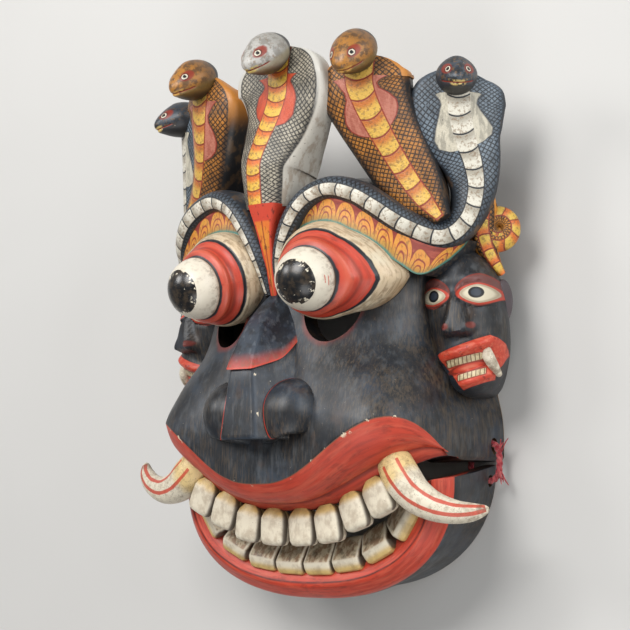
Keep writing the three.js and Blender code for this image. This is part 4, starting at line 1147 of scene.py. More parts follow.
def side_mouth_paint(paint):
    """A small face's mouth: worn red lips, two rows of small teeth and a tongue between them, with a painted
    highlight along the tongue's middle
    """
    on_lips = paint.lay(RED, paint.below("lips", 0, 0.3))
    paint.blots(ROSE, 0.5, 0.55, 0.08, 3, 5.0, (3, 1, 1), 4, within=on_lips)
    paint.blots(SOOT_AND_SHADE, 0.5, 0.62, 0.05, 4, 5.0, seed=8, within=on_lips)
    paint.lay(BRICK, paint.below("teeth", 0.8, 0.3))
    on_teeth = paint.lay(SIDE_TOOTH, paint.below("teeth", 0, 0.25))
    paint.blots(DIRT, 0.45, 0.5, 0.1, 5, 5.0, seed=5, within=on_teeth)
    paint.lay(UMBER, paint.both(on_teeth, paint.lines("across", 3.4, 0.8, 0.3), 0.9))
    paint.lay(BRICK, paint.below("tongue", 0.9, 0.4))
    paint.lay(RED, paint.below("tongue", 0, 0.3))
    # Painted highlight: paler rose along the tongue's middle
    paint.lay(ROSE, paint.below("tongue", -1.3, 0.8), 0.9)


def side_paint():
    """A small face: aged black, with its eyes, its mouth, reddened nostrils and a mauve ear"""
    paint = Paint("side face paint", BLACK, SIDE_GUIDES)
    age_black(paint, 6.0)
    paint.lay(MAUVE, paint.above("drop", EAR_DROP / 2, 1), 0.7)
    side_eye_paint(paint)
    paint.lay(BRICK, paint.below("nostril", 0, 0.8), 0.6)
    side_mouth_paint(paint)
    brush_marks(paint, 0.1)
    return paint.finish(glossy_variation(paint, 0.34, 0.62), 0.5)


def jaw_paint():
    """The jaw: aged black with a red lip and gum, a dark inside and bare wood at its back rim"""
    paint = Paint("jaw paint", BLACK, JAW_GUIDES)
    age_black(paint, 3.0)
    ground = paint.colour
    paint.colour = RED
    age_red(paint, paint.vector("around", "lip_edge", 0.0), 7.0)
    groove = paint.roughened("lip_edge", 0.6, 20)
    paint.lay(DEEP_RED, paint.between(groove, 19.5, 21.5, 0.8), 0.8)
    paint.blots(SOOT_AND_SHADE, 0.7, 0.45, 0.1, 12, 5.0, within=paint.between(groove, 20.2, 21.0, 0.4))
    red = paint.colour
    paint.colour = ground
    paint.lay(red, paint.above(paint.roughened("lip_edge", 0.5, 8), 0, 0.35))
    paint.lay(DARK_WOOD, paint.above("inside", 0.5, 0.1))
    height = paint.node("ShaderNodeSeparateXYZ", [(0, paint.place)]).outputs[2]
    paint.lay(WOOD, paint.below(height, *RIM_WOOD))
    brush_marks(paint)
    return paint.finish(glossy_variation(paint, 0.30, 0.6), 0.6)


def cloth_paint():
    """Faded, soiled red cloth"""
    paint = Paint("red cloth", CLOTH)
    paint.blots(FADED_CLOTH, 0.6, 0.5, 0.1, 4, 5.0)
    paint.blots(SOOT_AND_SHADE, 0.4, 0.6, 0.08, 9, 4.0, seed=3)
    paint.raise_by(paint.cloud(0.6, 2.0), 0.4)
    paint.shader.inputs["Sheen Weight"].default_value = 0.3
    return paint.finish(0.9, 1.0, 0.2)


# Face shell


def cap_scale(level, top, height):
    """How far a section shrinks where the shell closes over at its top"""
    t = np.clip((level - (top - height)) / height, 0, 1)
    return (1 - t**CAP_POWER) ** (1 / CAP_POWER)


def section_point(levels, turn, level, top, height):
    """Place on a shell at a turn and a level"""
    half_width, depth, squareness = at_level(levels, level)
    u, v = squared(turn, squareness)
    scale = cap_scale(level, top, height)
    return np.stack([u * half_width * scale, level + 0 * turn, v * depth * scale], -1)


def face_point(turn, level):
    """Place on the big face's outside"""
    return section_point(FACE_LEVELS, turn, level, FACE_TOP, FACE_CAP_HEIGHT)


def hollow_point(turn, level):
    """Place on the hollow's wall"""
    return section_point(HOLLOW_LEVELS, turn, level, HOLLOW_TOP, HOLLOW_CAP_HEIGHT)


def crest_level(from_rim):
    """Level of the lip's crest at an angle round the face, in degrees from the nearer rim"""
    peak, corner = LIP["peak_angle"], LIP["corner_angle"]
    rise = ease(((90 - np.maximum(from_rim, peak)) / (90 - peak)) ** LIP["crest_power"])
    front = LIP["crest_middle"] + (LIP["crest_peak"] - LIP["crest_middle"]) * rise
    t = np.clip((peak - from_rim) / (peak - corner), 0, 1)
    side = LIP["crest_peak"] + (LIP["corner_level"] - LIP["crest_peak"]) * (1 - np.cos(t * np.pi / 2))
    return np.where(from_rim >= peak, front, side)


def gum_level(from_rim):
    """Level of the lip's lower edge at an angle round the face"""
    t = np.clip((90 - from_rim) / (90 - LIP["gum_end_angle"]), 0, 1)
    return LIP["gum_middle"] + (LIP["corner_level"] - LIP["gum_middle"]) * ease(t ** LIP["gum_power"])


def from_nearer_rim(turn):
    """Angle round the face from its nearer back rim, in degrees"""
    degrees = np.degrees(turn)
    return np.minimum(degrees, 180 - degrees)


def gum_point(turn):
    """Place on the lip's lower edge, which runs into the face at the mouth's corners"""
    from_rim = from_nearer_rim(turn)
    u, v = squared(turn, LIP["gum_squareness"])
    front = np.stack([u * LIP["gum_half_width"], gum_level(from_rim), v * LIP["gum_depth"]], -1)
    behind = face_point(turn, np.full_like(turn, LIP["jaw_seam"])) * np.array([LIP["corner_tuck"], 1, 1])
    share = smoothstep(from_rim, LIP["corner_angle"] - 8, LIP["corner_angle"] + 5)[:, None]
    return behind * (1 - share) + front * share


def lip_point(turn, share):
    """The lip between crest and gum, with a full roll above a narrow groove"""
    crest = face_point(turn, crest_level(from_nearer_rim(turn)))
    point = crest * (1 - share) + gum_point(turn) * share
    band = smoothstep(from_nearer_rim(turn), LIP["corner_angle"], LIP["corner_angle"] + 10)
    sideways = LIP["roll_out"]
    down = np.full_like(turn, -LIP["roll_down"])
    out = unit(np.stack([np.cos(turn) * sideways, down, np.sin(turn) * sideways], -1))
    depth, middle, width = LIP["groove"]
    roll = LIP["roll"] * np.sin(np.pi * min(1, share / LIP["roll_share"]))
    roll -= depth * hump(share, middle, width)
    return point + out * (roll * band)[:, None]


def cap_levels(top, height, first, last, rows):
    """Levels of a closing cap, close together near its top"""
    angles = np.radians(np.linspace(first, last, rows))
    return top - height * (1 - np.sin(angles) ** (2 / CAP_POWER))


def face_shell(material):
    """The big face from its cap down to the gum, half round, closed flat behind"""
    around = np.linspace(0, np.pi, SHELL_GRID["columns"])
    from_rim = from_nearer_rim(around)
    crest = crest_level(from_rim)
    cap = cap_levels(FACE_TOP, FACE_CAP_HEIGHT, 86, 4, SHELL_GRID["cap"])
    levels = np.concatenate([cap, np.linspace(FACE_TOP - FACE_CAP_HEIGHT, FACE_BREAK, SHELL_GRID["face"])])
    rings = [face_point(around, np.full_like(around, level)) for level in levels]
    below = [level - crest for level in levels]
    shares = [np.zeros_like(around) for _ in levels]
    for share in np.linspace(0, 1, SHELL_GRID["above_lip"])[1:]:
        level = FACE_BREAK + (crest - FACE_BREAK) * share
        rings.append(face_point(around, level))
        below.append(level - crest)
        shares.append(np.zeros_like(around))
    for share in np.linspace(0, 1, SHELL_GRID["lip"])[1:]:
        rings.append(lip_point(around, share))
        below.append(-np.full_like(around, share * LIP_GUIDE_WIDTH))
        shares.append(np.full_like(around, share))
    rings = np.array(rings)
    shares = np.array(shares)
    shares[-1] = PAST_LIP
    arc = run_of(rings[len(rings) // 2])
    short_of_lip = 40 * (1 - smoothstep(from_rim, LIP["corner_angle"] - 3, LIP["corner_angle"]))
    guides = [-np.array(below) - short_of_lip, np.broadcast_to(arc, shares.shape), shares, hole_gap(rings)]
    return skin("shell", rings, material, guides + [FAR, FAR, FAR])


def hole_gap(points):
    """Distance of places on the face's front from the nearer eye hole's edge"""
    x, y, z = np.moveaxis(points, -1, 0)
    across = (np.abs(x) - EYE_HOLE["x"]) / EYE_HOLE["half_width"]
    reach = np.hypot(across, (y - EYE_HOLE["y"]) / EYE_HOLE["half_height"])
    return np.where(z > EYE_HOLE["z"][0], (reach - 1) * EYE_HOLE["half_height"], FAR)


def face_hollow(material):
    """The hollow behind the face, as a body to cut away"""
    around = np.linspace(0, np.pi, HOLLOW_GRID["columns"])
    cap = cap_levels(HOLLOW_TOP, HOLLOW_CAP_HEIGHT, 84, 6, HOLLOW_GRID["cap"])
    lowest = HOLLOW_LEVELS[0][0]
    levels = np.concatenate([cap, np.linspace(HOLLOW_TOP - HOLLOW_CAP_HEIGHT, lowest, HOLLOW_GRID["levels"])])
    rings = []
    for level in levels:
        ring = hollow_point(around, np.full_like(around, level))
        behind = [[ring[end, 0], level, HOLLOW_GRID["behind"]] for end in (-1, 0)]
        rings.append(np.vstack([ring, behind]))
    return skin("hollow", np.array(rings), material)


def eye_hole(side, material):
    """An oval rod through the face, to cut away"""
    turn = full_turn(48)
    x = side * (EYE_HOLE["x"] + EYE_HOLE["half_width"] * np.cos(turn))
    y = EYE_HOLE["y"] + EYE_HOLE["half_height"] * np.sin(turn)
    rings = [np.stack([x, y, np.full_like(turn, z)], -1) for z in EYE_HOLE["z"]]
    return skin("eye hole", np.array(rings), material)


# Eyes, nose and brows


def eye_frame():
    """The eye's axis, its outward direction and its upward direction"""
    axis = unit(np.array(EYE_AXIS))
    outward = unit(np.array([1.0, 0, 0]) - axis * axis[0])
    return axis, outward, np.cross(axis, outward)


def eye_outline(back, turn):
    """How far the eye's rims reach from its axis, drawn out to a point at the outer corner"""
    backs, *columns = np.array(sorted(EYE_STATIONS)).T
    radius, corner, below = (np.interp(back, backs, column) for column in columns)
    away = (np.degrees(turn) - EYE_CORNER["turn"] + 180) % 360 - 180
    flattened = radius + (below - radius) * np.clip(-np.sin(turn), 0, None) ** 2
    return flattened + (corner - radius) * np.clip(1 - np.abs(away) / EYE_CORNER["spread"], 0, 1) ** 1.5


def eye_gap(points):
    """Distance of places outside the left eye's mound from its surface"""
    axis, outward, up = eye_frame()
    away = points - np.array(EYE_CENTRE)
    x, y = away @ outward, away @ up
    return np.hypot(x, y) - eye_outline(-(away @ axis), np.arctan2(y, x))


def eye(side, material):
    """A bulb on a stack of rolled rims"""
    ball, rim, foot = EYE_BALL["back"], EYE_STATIONS[-1][0], EYE_STATIONS[0][0]
    over_ball = ball - EYE_BALL["height"] * np.sin(np.linspace(0, 1.53, 24)[1:])
    backs = np.concatenate([np.linspace(foot, rim, 56), over_ball])
    turn = np.linspace(-np.pi, np.pi, 84, endpoint=False)[None]
    back = backs[:, None] + 0 * turn
    dome = EYE_BALL["radius"] * np.sqrt(np.clip(1 - ((ball - back) / EYE_BALL["height"]) ** 2, 0.0004, 1))
    spread = np.where(back < ball, dome, eye_outline(back, turn))
    for height, middle, width in EYE_ROLLS:
        spread += height * hump(back, middle, width)
    axis, outward, up = eye_frame()
    rings = np.array(EYE_CENTRE) - axis * back[..., None]
    rings = rings + outward * (spread * np.cos(turn))[..., None] + up * (spread * np.sin(turn))[..., None]
    degrees = np.degrees(turn) + 0 * back
    return skin("eye", flipped(rings, side), material, [back, degrees, stroke_gap(back, degrees)])


def stroke_gap(back, degrees):
    """Distance from the nearest of the short strokes painted on an eyeball"""
    gap = np.full_like(back, EYE_STROKE["none"])
    for place, middle, reach in EYE_STROKES:
        sideways = np.abs(degrees - middle) * EYE_STROKE["mm_a_degree"] - reach
        gap = np.minimum(gap, np.maximum(sideways, np.abs(back - place) - EYE_STROKE["half_width"]))
    return gap


def nose_corners(level, ridge_half, ridge_z, foot_half, foot_z):
    """Ten corners of a section of the nose: a flat ridge, hollow flanks and feet inside the face"""
    section = NOSE_SECTION
    cheek = ridge_half + (foot_half - ridge_half) * section["cheek_out"]
    cheek_z = ridge_z + (foot_z - ridge_z) * section["cheek_down"]
    half = [
        (ridge_half * section["flat"], ridge_z),
        (ridge_half, ridge_z - section["edge"]),
        (cheek, cheek_z),
        (foot_half, foot_z),
        (foot_half, foot_z - section["root"]),
    ]
    right = [[x, level, z] for x, z in half]
    return right + [[-x, level, z] for x, z in reversed(half)]


def nose(material):
    """The ridged nose down to its flat end, with worn edges"""
    last = NOSE_END + np.array([2, 0.8, 0])
    levels = np.concatenate([np.linspace(NOSE_LEVELS[0][0], NOSE_END + 4, 44), last])
    rows = np.stack([levels, *at_level(NOSE_LEVELS, levels)], -1)
    rings = rounded(np.array([nose_corners(*row) for row in rows]), 8, 3)
    for i, tuck in ((-2, 0.4), (-1, 1.6)):
        middle = rings[i].mean(axis=0)
        rings[i] = middle + (rings[i] - middle) * (1 - tuck / 30)
    x, y, z = np.moveaxis(rings, -1, 0)
    ridge, ridge_z = rows[:, 1:2], rows[:, 2:3]
    off_edge = np.hypot(np.abs(x) - ridge, np.minimum(z - ridge_z + NOSE_SECTION["edge"], 0))
    off_end = np.hypot(y - NOSE_END, np.clip(ridge_z - 12 - z, 0, None))
    edge = np.minimum(off_edge + FAR * (y > NOSE_SADDLE["end"] - 1), off_end)
    return skin("nose", rings, material, [-FAR, 0, 0, FAR, FAR, FAR, edge])


def saddle_ring(level):
    """A section of the fuller upper nose, bent up towards its sides"""
    top, end, rise, half_width, swell, arch, foot_out, foot_up = NOSE_SADDLE.values()
    share = max((top - level) / (top - end), 0)

    def fuller(y):
        """The nose's section at a level, grown by the saddle's swell"""
        ridge_half, ridge_z, foot_half, foot_z = at_level(NOSE_LEVELS, y)
        ridge = (ridge_half + swell * share, ridge_z + swell * math.sqrt(share))
        return np.array(nose_corners(y, *ridge, foot_half + foot_out, foot_z + foot_up))

    bent = level + rise * share * np.minimum(1, np.abs(fuller(level)[:, 0]) / half_width) ** arch
    return [fuller(y)[i] for i, y in enumerate(bent)]


def nose_saddle(material):
    """The fuller upper part of the nose, whose lower edge is an arch"""
    top, end = NOSE_SADDLE["top"], NOSE_SADDLE["end"]
    levels = np.concatenate([np.linspace(top, end + 1.2, 34), [end + 0.5, end]])
    rings = rounded(np.array([saddle_ring(level) for level in levels]), 8, 3)
    middle = rings[-1].mean(axis=0)
    rings[-1] = middle + (rings[-1] - middle) * 0.97
    edge = np.broadcast_to((levels - end)[:, None], rings.shape[:2])
    return skin("saddle", rings, material, [-FAR, 0, 0, FAR, FAR, edge, FAR])


def ball(rows, columns):
    """Unit ball as rings from its +Z end to its -Z end"""
    tilt = np.radians(np.linspace(4, 176, rows))[:, None]
    turn = full_turn(columns)[None]
    return np.stack([np.sin(tilt) * np.cos(turn), np.sin(tilt) * np.sin(turn), np.cos(tilt) + 0 * turn], -1)


def nostril(side, material):
    """A wing of the nose: round above, fuller below and cut off by a floor that rises outwards"""
    centre, radii, stretch, tuck, lowest, lift = NOSTRIL.values()
    depth, hole_x, width, hole_z, length, soft = NOSTRIL_HOLE.values()
    points = ball(38, 52) * np.array(radii)
    low = np.clip(-points[..., 1], 0, None) * stretch
    points[..., 0] -= tuck * low
    floor = lowest - centre[1] + lift * (centre[0] + points[..., 0] - 15)
    fall = np.where(points[..., 1] < 0, -low, points[..., 1])
    points[..., 1] = floor + soft * np.logaddexp(0, (fall - floor) / soft)
    hole = hump(points[..., 0], hole_x, width) * hump(points[..., 2], hole_z, length)
    points[..., 1] += depth * hole * smoothstep(floor - fall, 0, 3)
    points += np.array(centre)
    on_nose = np.clip(points[..., 1], NOSE_LEVELS[-1][0], NOSE_LEVELS[0][0])
    ridge_half, ridge_z, foot_half, foot_z = at_level(NOSE_LEVELS, on_nose)
    edge_z = ridge_z - NOSE_SECTION["edge"]
    slope = edge_z + (foot_z - edge_z) * (points[..., 0] - ridge_half) / (foot_half - ridge_half)
    guides = [-FAR, 0, 0, FAR, points[..., 2] - slope, FAR, FAR]
    return skin("nostril", flipped(points, side), material, guides)


def brow(side, material):
    """The roof over the eye, between the snake above and the eye below"""
    places = np.linspace(0, 1, BROW_GRID["along"])
    upper, lower = stations_at(BROW_UPPER, places), stations_at(BROW_LOWER, places)
    down = np.linspace(0, 1, BROW_GRID["down"])
    shares = down[:, None, None]
    front = upper * (1 - shares) + lower * shares + np.array([0, 1, -2]) * 4 * shares * (1 - shares)
    behind = front[::-1] - np.array([0, 0, BROW_THICKNESS])
    rings = np.moveaxis(np.concatenate([front, behind]), 0, 1)
    along = run_of(rings[:, len(down) // 2])[:, None]
    width = np.linalg.norm(upper - lower, axis=1)[:, None]
    across = np.concatenate([down, down[::-1]])[None]
    under = np.arange(rings.shape[1])[None] >= len(front)
    from_foot = width * (1 - across)
    gap = np.where(under, -BROW_THICKNESS, np.minimum(eye_gap(rings), from_foot))
    guides = [along + 0 * across, width * across, gap]
    return skin("brow", flipped(rings, side), material, guides)


def wedge(material):
    """The narrow ridge between the brows"""
    level = np.linspace(WEDGE_LEVELS[0][0], WEDGE_LEVELS[-1][0], 40)
    z, half = at_level(WEDGE_LEVELS, level)
    foot = z - WEDGE_DEPTH
    corners = [(-half, z - 1), (0 * half, z), (half, z - 1), (half, foot), (-half, foot)]
    outline = np.stack([np.stack([x, level, depth], -1) for x, depth in corners], 1)
    rings = rounded(outline, 8, 1)
    across = rings[..., 0]
    guides = [across, rings[..., 1], half[:, None] - np.abs(across)]
    return skin("wedge", rings, material, guides)


# Snakes


def snake_rings(stations, sections):
    """A snake's body: sections square to its belly line, flattened and swept back where it spreads"""
    places = np.linspace(0, 1, sections + 1)
    x, y, z, half_width, half_thickness, sweep, facing = stations_at(stations, places).T[:, :, None]
    line = np.stack([x, y, z], -1)
    along = heading(stations, places)[:, None]
    radians = np.radians(facing)
    front = np.stack([np.sin(radians), 0 * radians, np.cos(radians)], -1)
    front = unit(front - along * (front * along).sum(-1, keepdims=True))
    across = np.cross(along, front)
    section, belly = SNAKE_SECTION, SNAKE_BELLY
    flatness = smoothstep(half_width, section["narrow"], section["wide"])
    crown = smoothstep(places, section["crown_from"], section["crown_full"])[:, None] * flatness
    squareness = section["round"] + (section["flat"] - section["round"]) * flatness
    squareness = squareness - (squareness - section["crown"]) * crown
    turn = full_turn(SNAKE_SIDES)[None]
    u, v = squared(turn, squareness)
    roll = hump(u, 0, belly["half"]) - hump(np.abs(u), belly["side"], belly["side_half"])
    lift = (v - 1) * half_thickness - sweep * u * u + belly["rise"] * flatness * roll * (v > 0)
    rings = line + across * (u * half_width)[..., None] + front * lift[..., None]
    corner = 2 ** (-1 / squareness)
    on_front = np.sin(turn) > np.abs(np.cos(turn)) - 1e-6
    edge = np.where(on_front, half_width * (corner - np.abs(u)), half_thickness * (v - corner))
    return rings, run_of(line[:, 0])[:, None] + 0 * u, u * half_width, y + 0 * u, edge


def snake(name, stations, side, sections, material, band, blotch, shift=((0, 0), (1, 0))):
    """A snake with its belly band, in half widths by level or length, and its hood's blotch"""
    rings, along, across, level, edge = snake_rings(stations, sections)
    across = across - np.interp(along, *zip(*shift))
    band_half = np.interp(along if band["by"] == "length" else level, *zip(*band["table"]))
    blotch_half = np.interp(level, *zip(*blotch)) - FAR * (along < along.max() * HOOD_FROM)
    behind = SNAKE_BACK["away"] * (edge < SNAKE_BACK["edge"])
    off_band, off_blotch = (np.abs(across) - half + behind for half in (band_half, blotch_half))
    return skin(name, flipped(rings, side), material, [along, across, off_band, off_blotch, level, edge])


def snake_head(name, side, material):
    """An egg that narrows to the snout and the crown, with a lip line and low bumps for the eyes"""
    head, eye, lips = HEADS[name], HEAD_EYE, HEAD_MOUTH
    size = np.array(head["size"], float)
    sphere = ball(32, 42)
    points = sphere * size
    eyes = [unit(flipped(np.array(eye["towards"]), s)) * size for s in (-1, 1)]
    reach = nearest(np.linalg.norm(points - e, axis=-1) for e in eyes)
    off, shape = np.array(eye["patch_off"]), np.array(eye["patch_shape"])
    patch = nearest(np.linalg.norm((points - e - off) / shape, axis=-1) for e in eyes) - eye["patch"]
    mouth = points[..., 1] + lips["drop"] * size[1] - lips["slope"] * (size[2] - points[..., 2])
    slit = HEAD_LIP["height"] * hump(mouth, -HEAD_LIP["below"], HEAD_LIP["half"])
    slit -= lips["depth"] * hump(mouth, 0, lips["half"])
    lift = eye["bump"] * hump(reach, 0, eye["reach"]) + slit * smoothstep(sphere[..., 2], 0.2, 0.5)
    points = points + unit(sphere) * lift[..., None]
    forward = np.clip(points[..., 2] / size[2], 0, None)
    upward = np.clip(points[..., 1] / size[1], 0, None)
    points[..., 0] *= 1 - HEAD_SHAPE["narrow_snout"] * forward
    points[..., 0] *= 1 - HEAD_SHAPE["narrow_crown"] * upward**2
    points[..., 1] *= 1 - HEAD_SHAPE["flat_snout"] * forward
    rings = turned(points, head["dip"], side * head["facing"]) + flipped(np.array(head["at"]), side)
    return skin("head", rings, material, [sphere[..., 1], sphere[..., 2], reach, mouth, patch])


def tail_coil(side, material):
    """The tail's winding, a spiral of one tapering cord laid as a thick round"""
    share = np.linspace(0, 1, 90)
    turn = COIL["start"] + COIL["sweep"] * share
    radius, tube = (np.interp(share, (0, 1), ends) for ends in (COIL_RADII, COIL_CORD))
    facing = math.radians(COIL["facing"])
    across = np.array([math.cos(facing), 0, -math.sin(facing)])
    front = np.array([math.sin(facing), 0, math.cos(facing)])
    out = across * np.cos(turn)[:, None] + np.array([0, 1, 0]) * np.sin(turn)[:, None]
    middle = np.array(COIL["at"]) + out * radius[:, None] + front * (COIL["rise"] * share)[:, None]
    angle = full_turn(24)
    ring = out[:, None] * np.cos(angle)[None, :, None] + front * np.sin(angle)[None, :, None]
    rings = middle[:, None] + ring * tube[:, None, None]
    along = (share * COIL["length"])[:, None] + 0 * angle
    aside = tube[:, None] * (angle - np.pi * COIL_BAND["turned"])[None]
    behind = np.where(np.sin(angle) > COIL_BAND["behind"], 0, COIL_BAND["away"])[None]
    band = np.abs(aside) - COIL_BAND["half"] + behind
    return skin("coil", flipped(rings, side), material, [along, aside, band, FAR, 0, FAR])


# Side faces


def side_mouth(p, q):
    """How far below the mouth's slanting top line a place is"""
    return SIDE_MOUTH["level"] + SIDE_MOUTH["slope"] * p - q


def mound(p, q, shape):
    """A low mound, or with less than no height a dent"""
    height, middle, half_width, level, half_height = shape
    return height * hump(p, middle, half_width) * hump(q, level, half_height)


def side_nose(p, q):
    """A nose that widens and rises downwards, between its two wings"""
    middle, half, widening, root, base, height = SIDE_NOSE.values()
    half = half + widening * np.clip((root - q) / 24, 0, 1)
    ridge = smoothstep(-np.abs(p - middle), -half - 3, -half + 1) * smoothstep(q, base - 5, base)
    ridge *= 1 - smoothstep(q, root, root + 11)
    relief = height * ridge * (1 - 0.6 * np.clip((q - base) / 32, 0, 1))
    return relief + mound(np.abs(p - SIDE_WINGS_MIDDLE), q, SIDE_WINGS)


def side_eyeball(p, q, middle, level, half_width, half_height):
    """A ball in a groove under a brow"""
    reach = np.hypot((p - middle) / half_width, (q - level) / half_height)
    eyeball = np.sqrt(np.clip(1 - (reach / 1.25) ** 2, 0, 1))
    over = hump(p, middle + 1, half_width) * hump(q, level + 13, 5)
    return SIDE_EYE_RISE * (eyeball + over) - 0.8 * hump(reach, 1.28, 0.1)


def side_lips(p, q):
    """Rolled lips and the grooves beside the teeth, faded out at the mouth's corners"""
    drop = side_mouth(p, q)
    inside = smoothstep(p, -26, -19) * (1 - smoothstep(p, 24, 32))
    return inside * sum(height * hump(drop, middle, width) for height, middle, width in SIDE_MOUTH["rolls"])


def side_relief(p, q):
    """Carving of the small face in front of its plain egg, at places in mm measured upright"""
    eyeballs = sum(side_eyeball(p, q, *eye["at"], *eye["ball"]) for eye in SIDE_EYES)
    return side_nose(p, q) + eyeballs + side_lips(p, q) + mound(p, q, SIDE_CHIN)


def side_place(points, side):
    """The small face's own place, turned and leaned as the frame's is, on the mask's left or right"""
    leaned = turned(points, 0, SIDE_FACE["facing"], SIDE_FACE["lean"])
    return flipped(leaned + np.array(SIDE_FACE["at"]), side)


def box_distance(x, y, middle, half):
    """Distance from a box's outline, less than nothing inside"""
    return np.maximum(np.abs(x - middle[0]) - half[0], np.abs(y - middle[1]) - half[1])


def oval_distance(x, y, middle_x, middle_y, widening, radius):
    """Distance from the outline of a circle that is drawn out sideways"""
    return np.hypot((x - middle_x) / widening, y - middle_y) - radius


def almond_distance(x, y, middle, half):
    """Distance from an almond's outline, pointed at its sides"""
    reach = np.abs((x - middle[0]) / half[0]) ** 1.5 + np.abs((y - middle[1]) / half[1]) ** 1.8
    return (reach ** (1 / 1.65) - 1) * half[1]


def side_guides(p, q):
    """Values of SIDE_GUIDES at places of the small face"""
    drop = side_mouth(p, q)
    left = SIDE_MOUTH["left"] + SIDE_MOUTH["left_lean"] * drop - p
    right = p - np.interp(drop, SIDE_MOUTH["right_drops"], SIDE_MOUTH["right_ends"])
    lips = np.max([-drop, drop - SIDE_MOUTH["height"], left, right], axis=0)
    teeth = nearest(box_distance(p, drop - slant * p, middle, half) for slant, middle, half in SIDE_TEETH)
    slant, middle, half = SIDE_TONGUE
    tongue = (np.hypot((p - middle[0]) / half[0], (drop - slant * p - middle[1]) / half[1]) - 1) * half[1]
    white = nearest(almond_distance(p, q, eye["at"], eye["white"]) for eye in SIDE_EYES)
    lid = nearest(almond_distance(p, q, *eye["lid"]) for eye in SIDE_EYES)
    pupil = nearest(oval_distance(p, q, *eye["pupil"]) for eye in SIDE_EYES)
    nostril = nearest(oval_distance(p, q, *hole) for hole in SIDE_NOSTRILS)
    return [lips, teeth, white, pupil, lid, p, tongue, nostril, drop]


def side_face(side, material):
    """The small carved face: an egg, rounded in front with its relief and flat inside the big face"""
    half_width, half_height, depth = SIDE_FACE["size"]
    upward, around, top_heavy, bulge, back, back_share = SIDE_EGG.values()
    lean = math.radians(SIDE_FACE["lean"])
    v = np.sin(np.linspace(-1.4, 1.4, 92))[:, None] * 0.9999
    turn = np.linspace(0, np.pi, 66)[None]
    reach = (1 - np.abs(v) ** upward) ** (1 / upward) * (1 + top_heavy * v)
    a, b = squared(turn, around)
    across, up = a * reach * half_width, v * half_height + 0 * turn
    p = across * math.cos(lean) - up * math.sin(lean)
    q = across * math.sin(lean) + up * math.cos(lean)
    relief = side_relief(p, q) * smoothstep(b, 0.15, 0.6)
    front = np.stack([across, up, b * reach**bulge * depth + relief], -1)
    half_back = reach[:, 0] * half_width * back_share
    ends = np.stack([-half_back, half_back], 1)
    behind = np.stack([ends, np.repeat(v * half_height, 2, 1), np.full_like(ends, back)], -1)
    rings = np.concatenate([front, behind], axis=1)
    unpainted = np.full_like(ends, 9)
    guides = [np.concatenate([guide, unpainted], axis=1) for guide in side_guides(p, q)]
    return skin("side face", side_place(rings, side), material, guides)


def side_ear(side, material):
    """A flat ear with a shallow bowl"""
    points = ball(26, 30) * np.array(SIDE_EAR["radii"])
    points[..., 0] -= mound(points[..., 1], points[..., 2], SIDE_EAR["bowl"]) * (points[..., 0] > 0)
    middle = side_place(np.array([SIDE_EAR["at"]], float), 1)[0]
    guides = [FAR] * (len(SIDE_GUIDES) - 1) + [EAR_DROP]
    return skin("ear", flipped(points + middle, side), material, guides)


def side_tusk(side, material):
    """A small tusk without stripes, stained as a big one is towards its tip"""
    path = np.array(SIDE_TUSK)
    rings, along, _ = tube_rings(np.column_stack([side_place(path[:, :3], side), path[:, 3]]), 22, 16)
    return skin("side tusk", rings, material, [along + SIDE_TUSK_AGE, TUSK_STRIPES["away"]])


# Teeth and tusks


def tube_rings(stations, sections, sides):
    """A tube with a rounded tip along a table's line; also how far along and at what turn each point is"""
    places = np.linspace(0, 1, sections + 1)
    rows = stations_at(stations, places)
    along = heading(stations, places)
    front = unit(np.array([0, 0, 1.0]) - along * along[:, 2:])
    across = np.cross(along, front)
    angle = full_turn(sides)
    upright = (TUBE_FLATTENED * np.sin(angle))[None, :, None]
    ring = across[:, None] * np.cos(angle)[None, :, None] + front[:, None] * upright
    in_tip = np.clip((places - TUBE_TIP["from"]) / TUBE_TIP["length"], 0, 1)
    radius = rows[:, 3] * np.sqrt(np.clip(1 - in_tip**2, TUBE_TIP["least"], 1))
    rings = rows[:, None, :3] + ring * radius[:, None, None]
    return rings, run_of(rows[:, :3])[:, None] + 0 * angle, np.degrees(angle)[None] + 0 * rows[:, 3:]


def tusk(stations, side, material):
    """A tusk with two painted stripes along its front"""
    sections = 56
    rings, along, degrees = tube_rings(stations, sections, 36)
    around, half, flattened, start, end, away = TUSK_STRIPES.values()
    radius = stations_at(stations, np.linspace(0, 1, sections + 1))[:, 3:] * flattened
    stripe = nearest(np.radians(np.abs(degrees - middle)) * radius - half for middle in around)
    stripe = np.where((along < start) | (along > end), away, np.minimum(stripe, away))
    return skin("tusk", flipped(rings, side), material, [along, stripe])


def upper_tooth(index, side, material):
    """A rounded block, fullest at its middle"""
    x, y, lean = UPPER_TEETH[index]
    ups = np.sin(np.linspace(-1.5, 1.5, 18))[:, None]
    wide, deep = (np.interp(ups, *zip(*profile)) for profile in (UPPER_WIDE, UPPER_DEEP))
    half_width, half_height, half_depth, z, squareness = UPPER_TOOTH.values()
    u, v = squared(full_turn(28) + np.pi / 28, squareness)
    points = np.stack([u * half_width * wide, ups * half_height + 0 * u, v * half_depth * deep], -1)
    points = turned(points, 0, 0, lean) + np.array([x, y, z])
    return skin("upper tooth", flipped(points, side), material, [ups, np.abs(u) * (v > 0)])


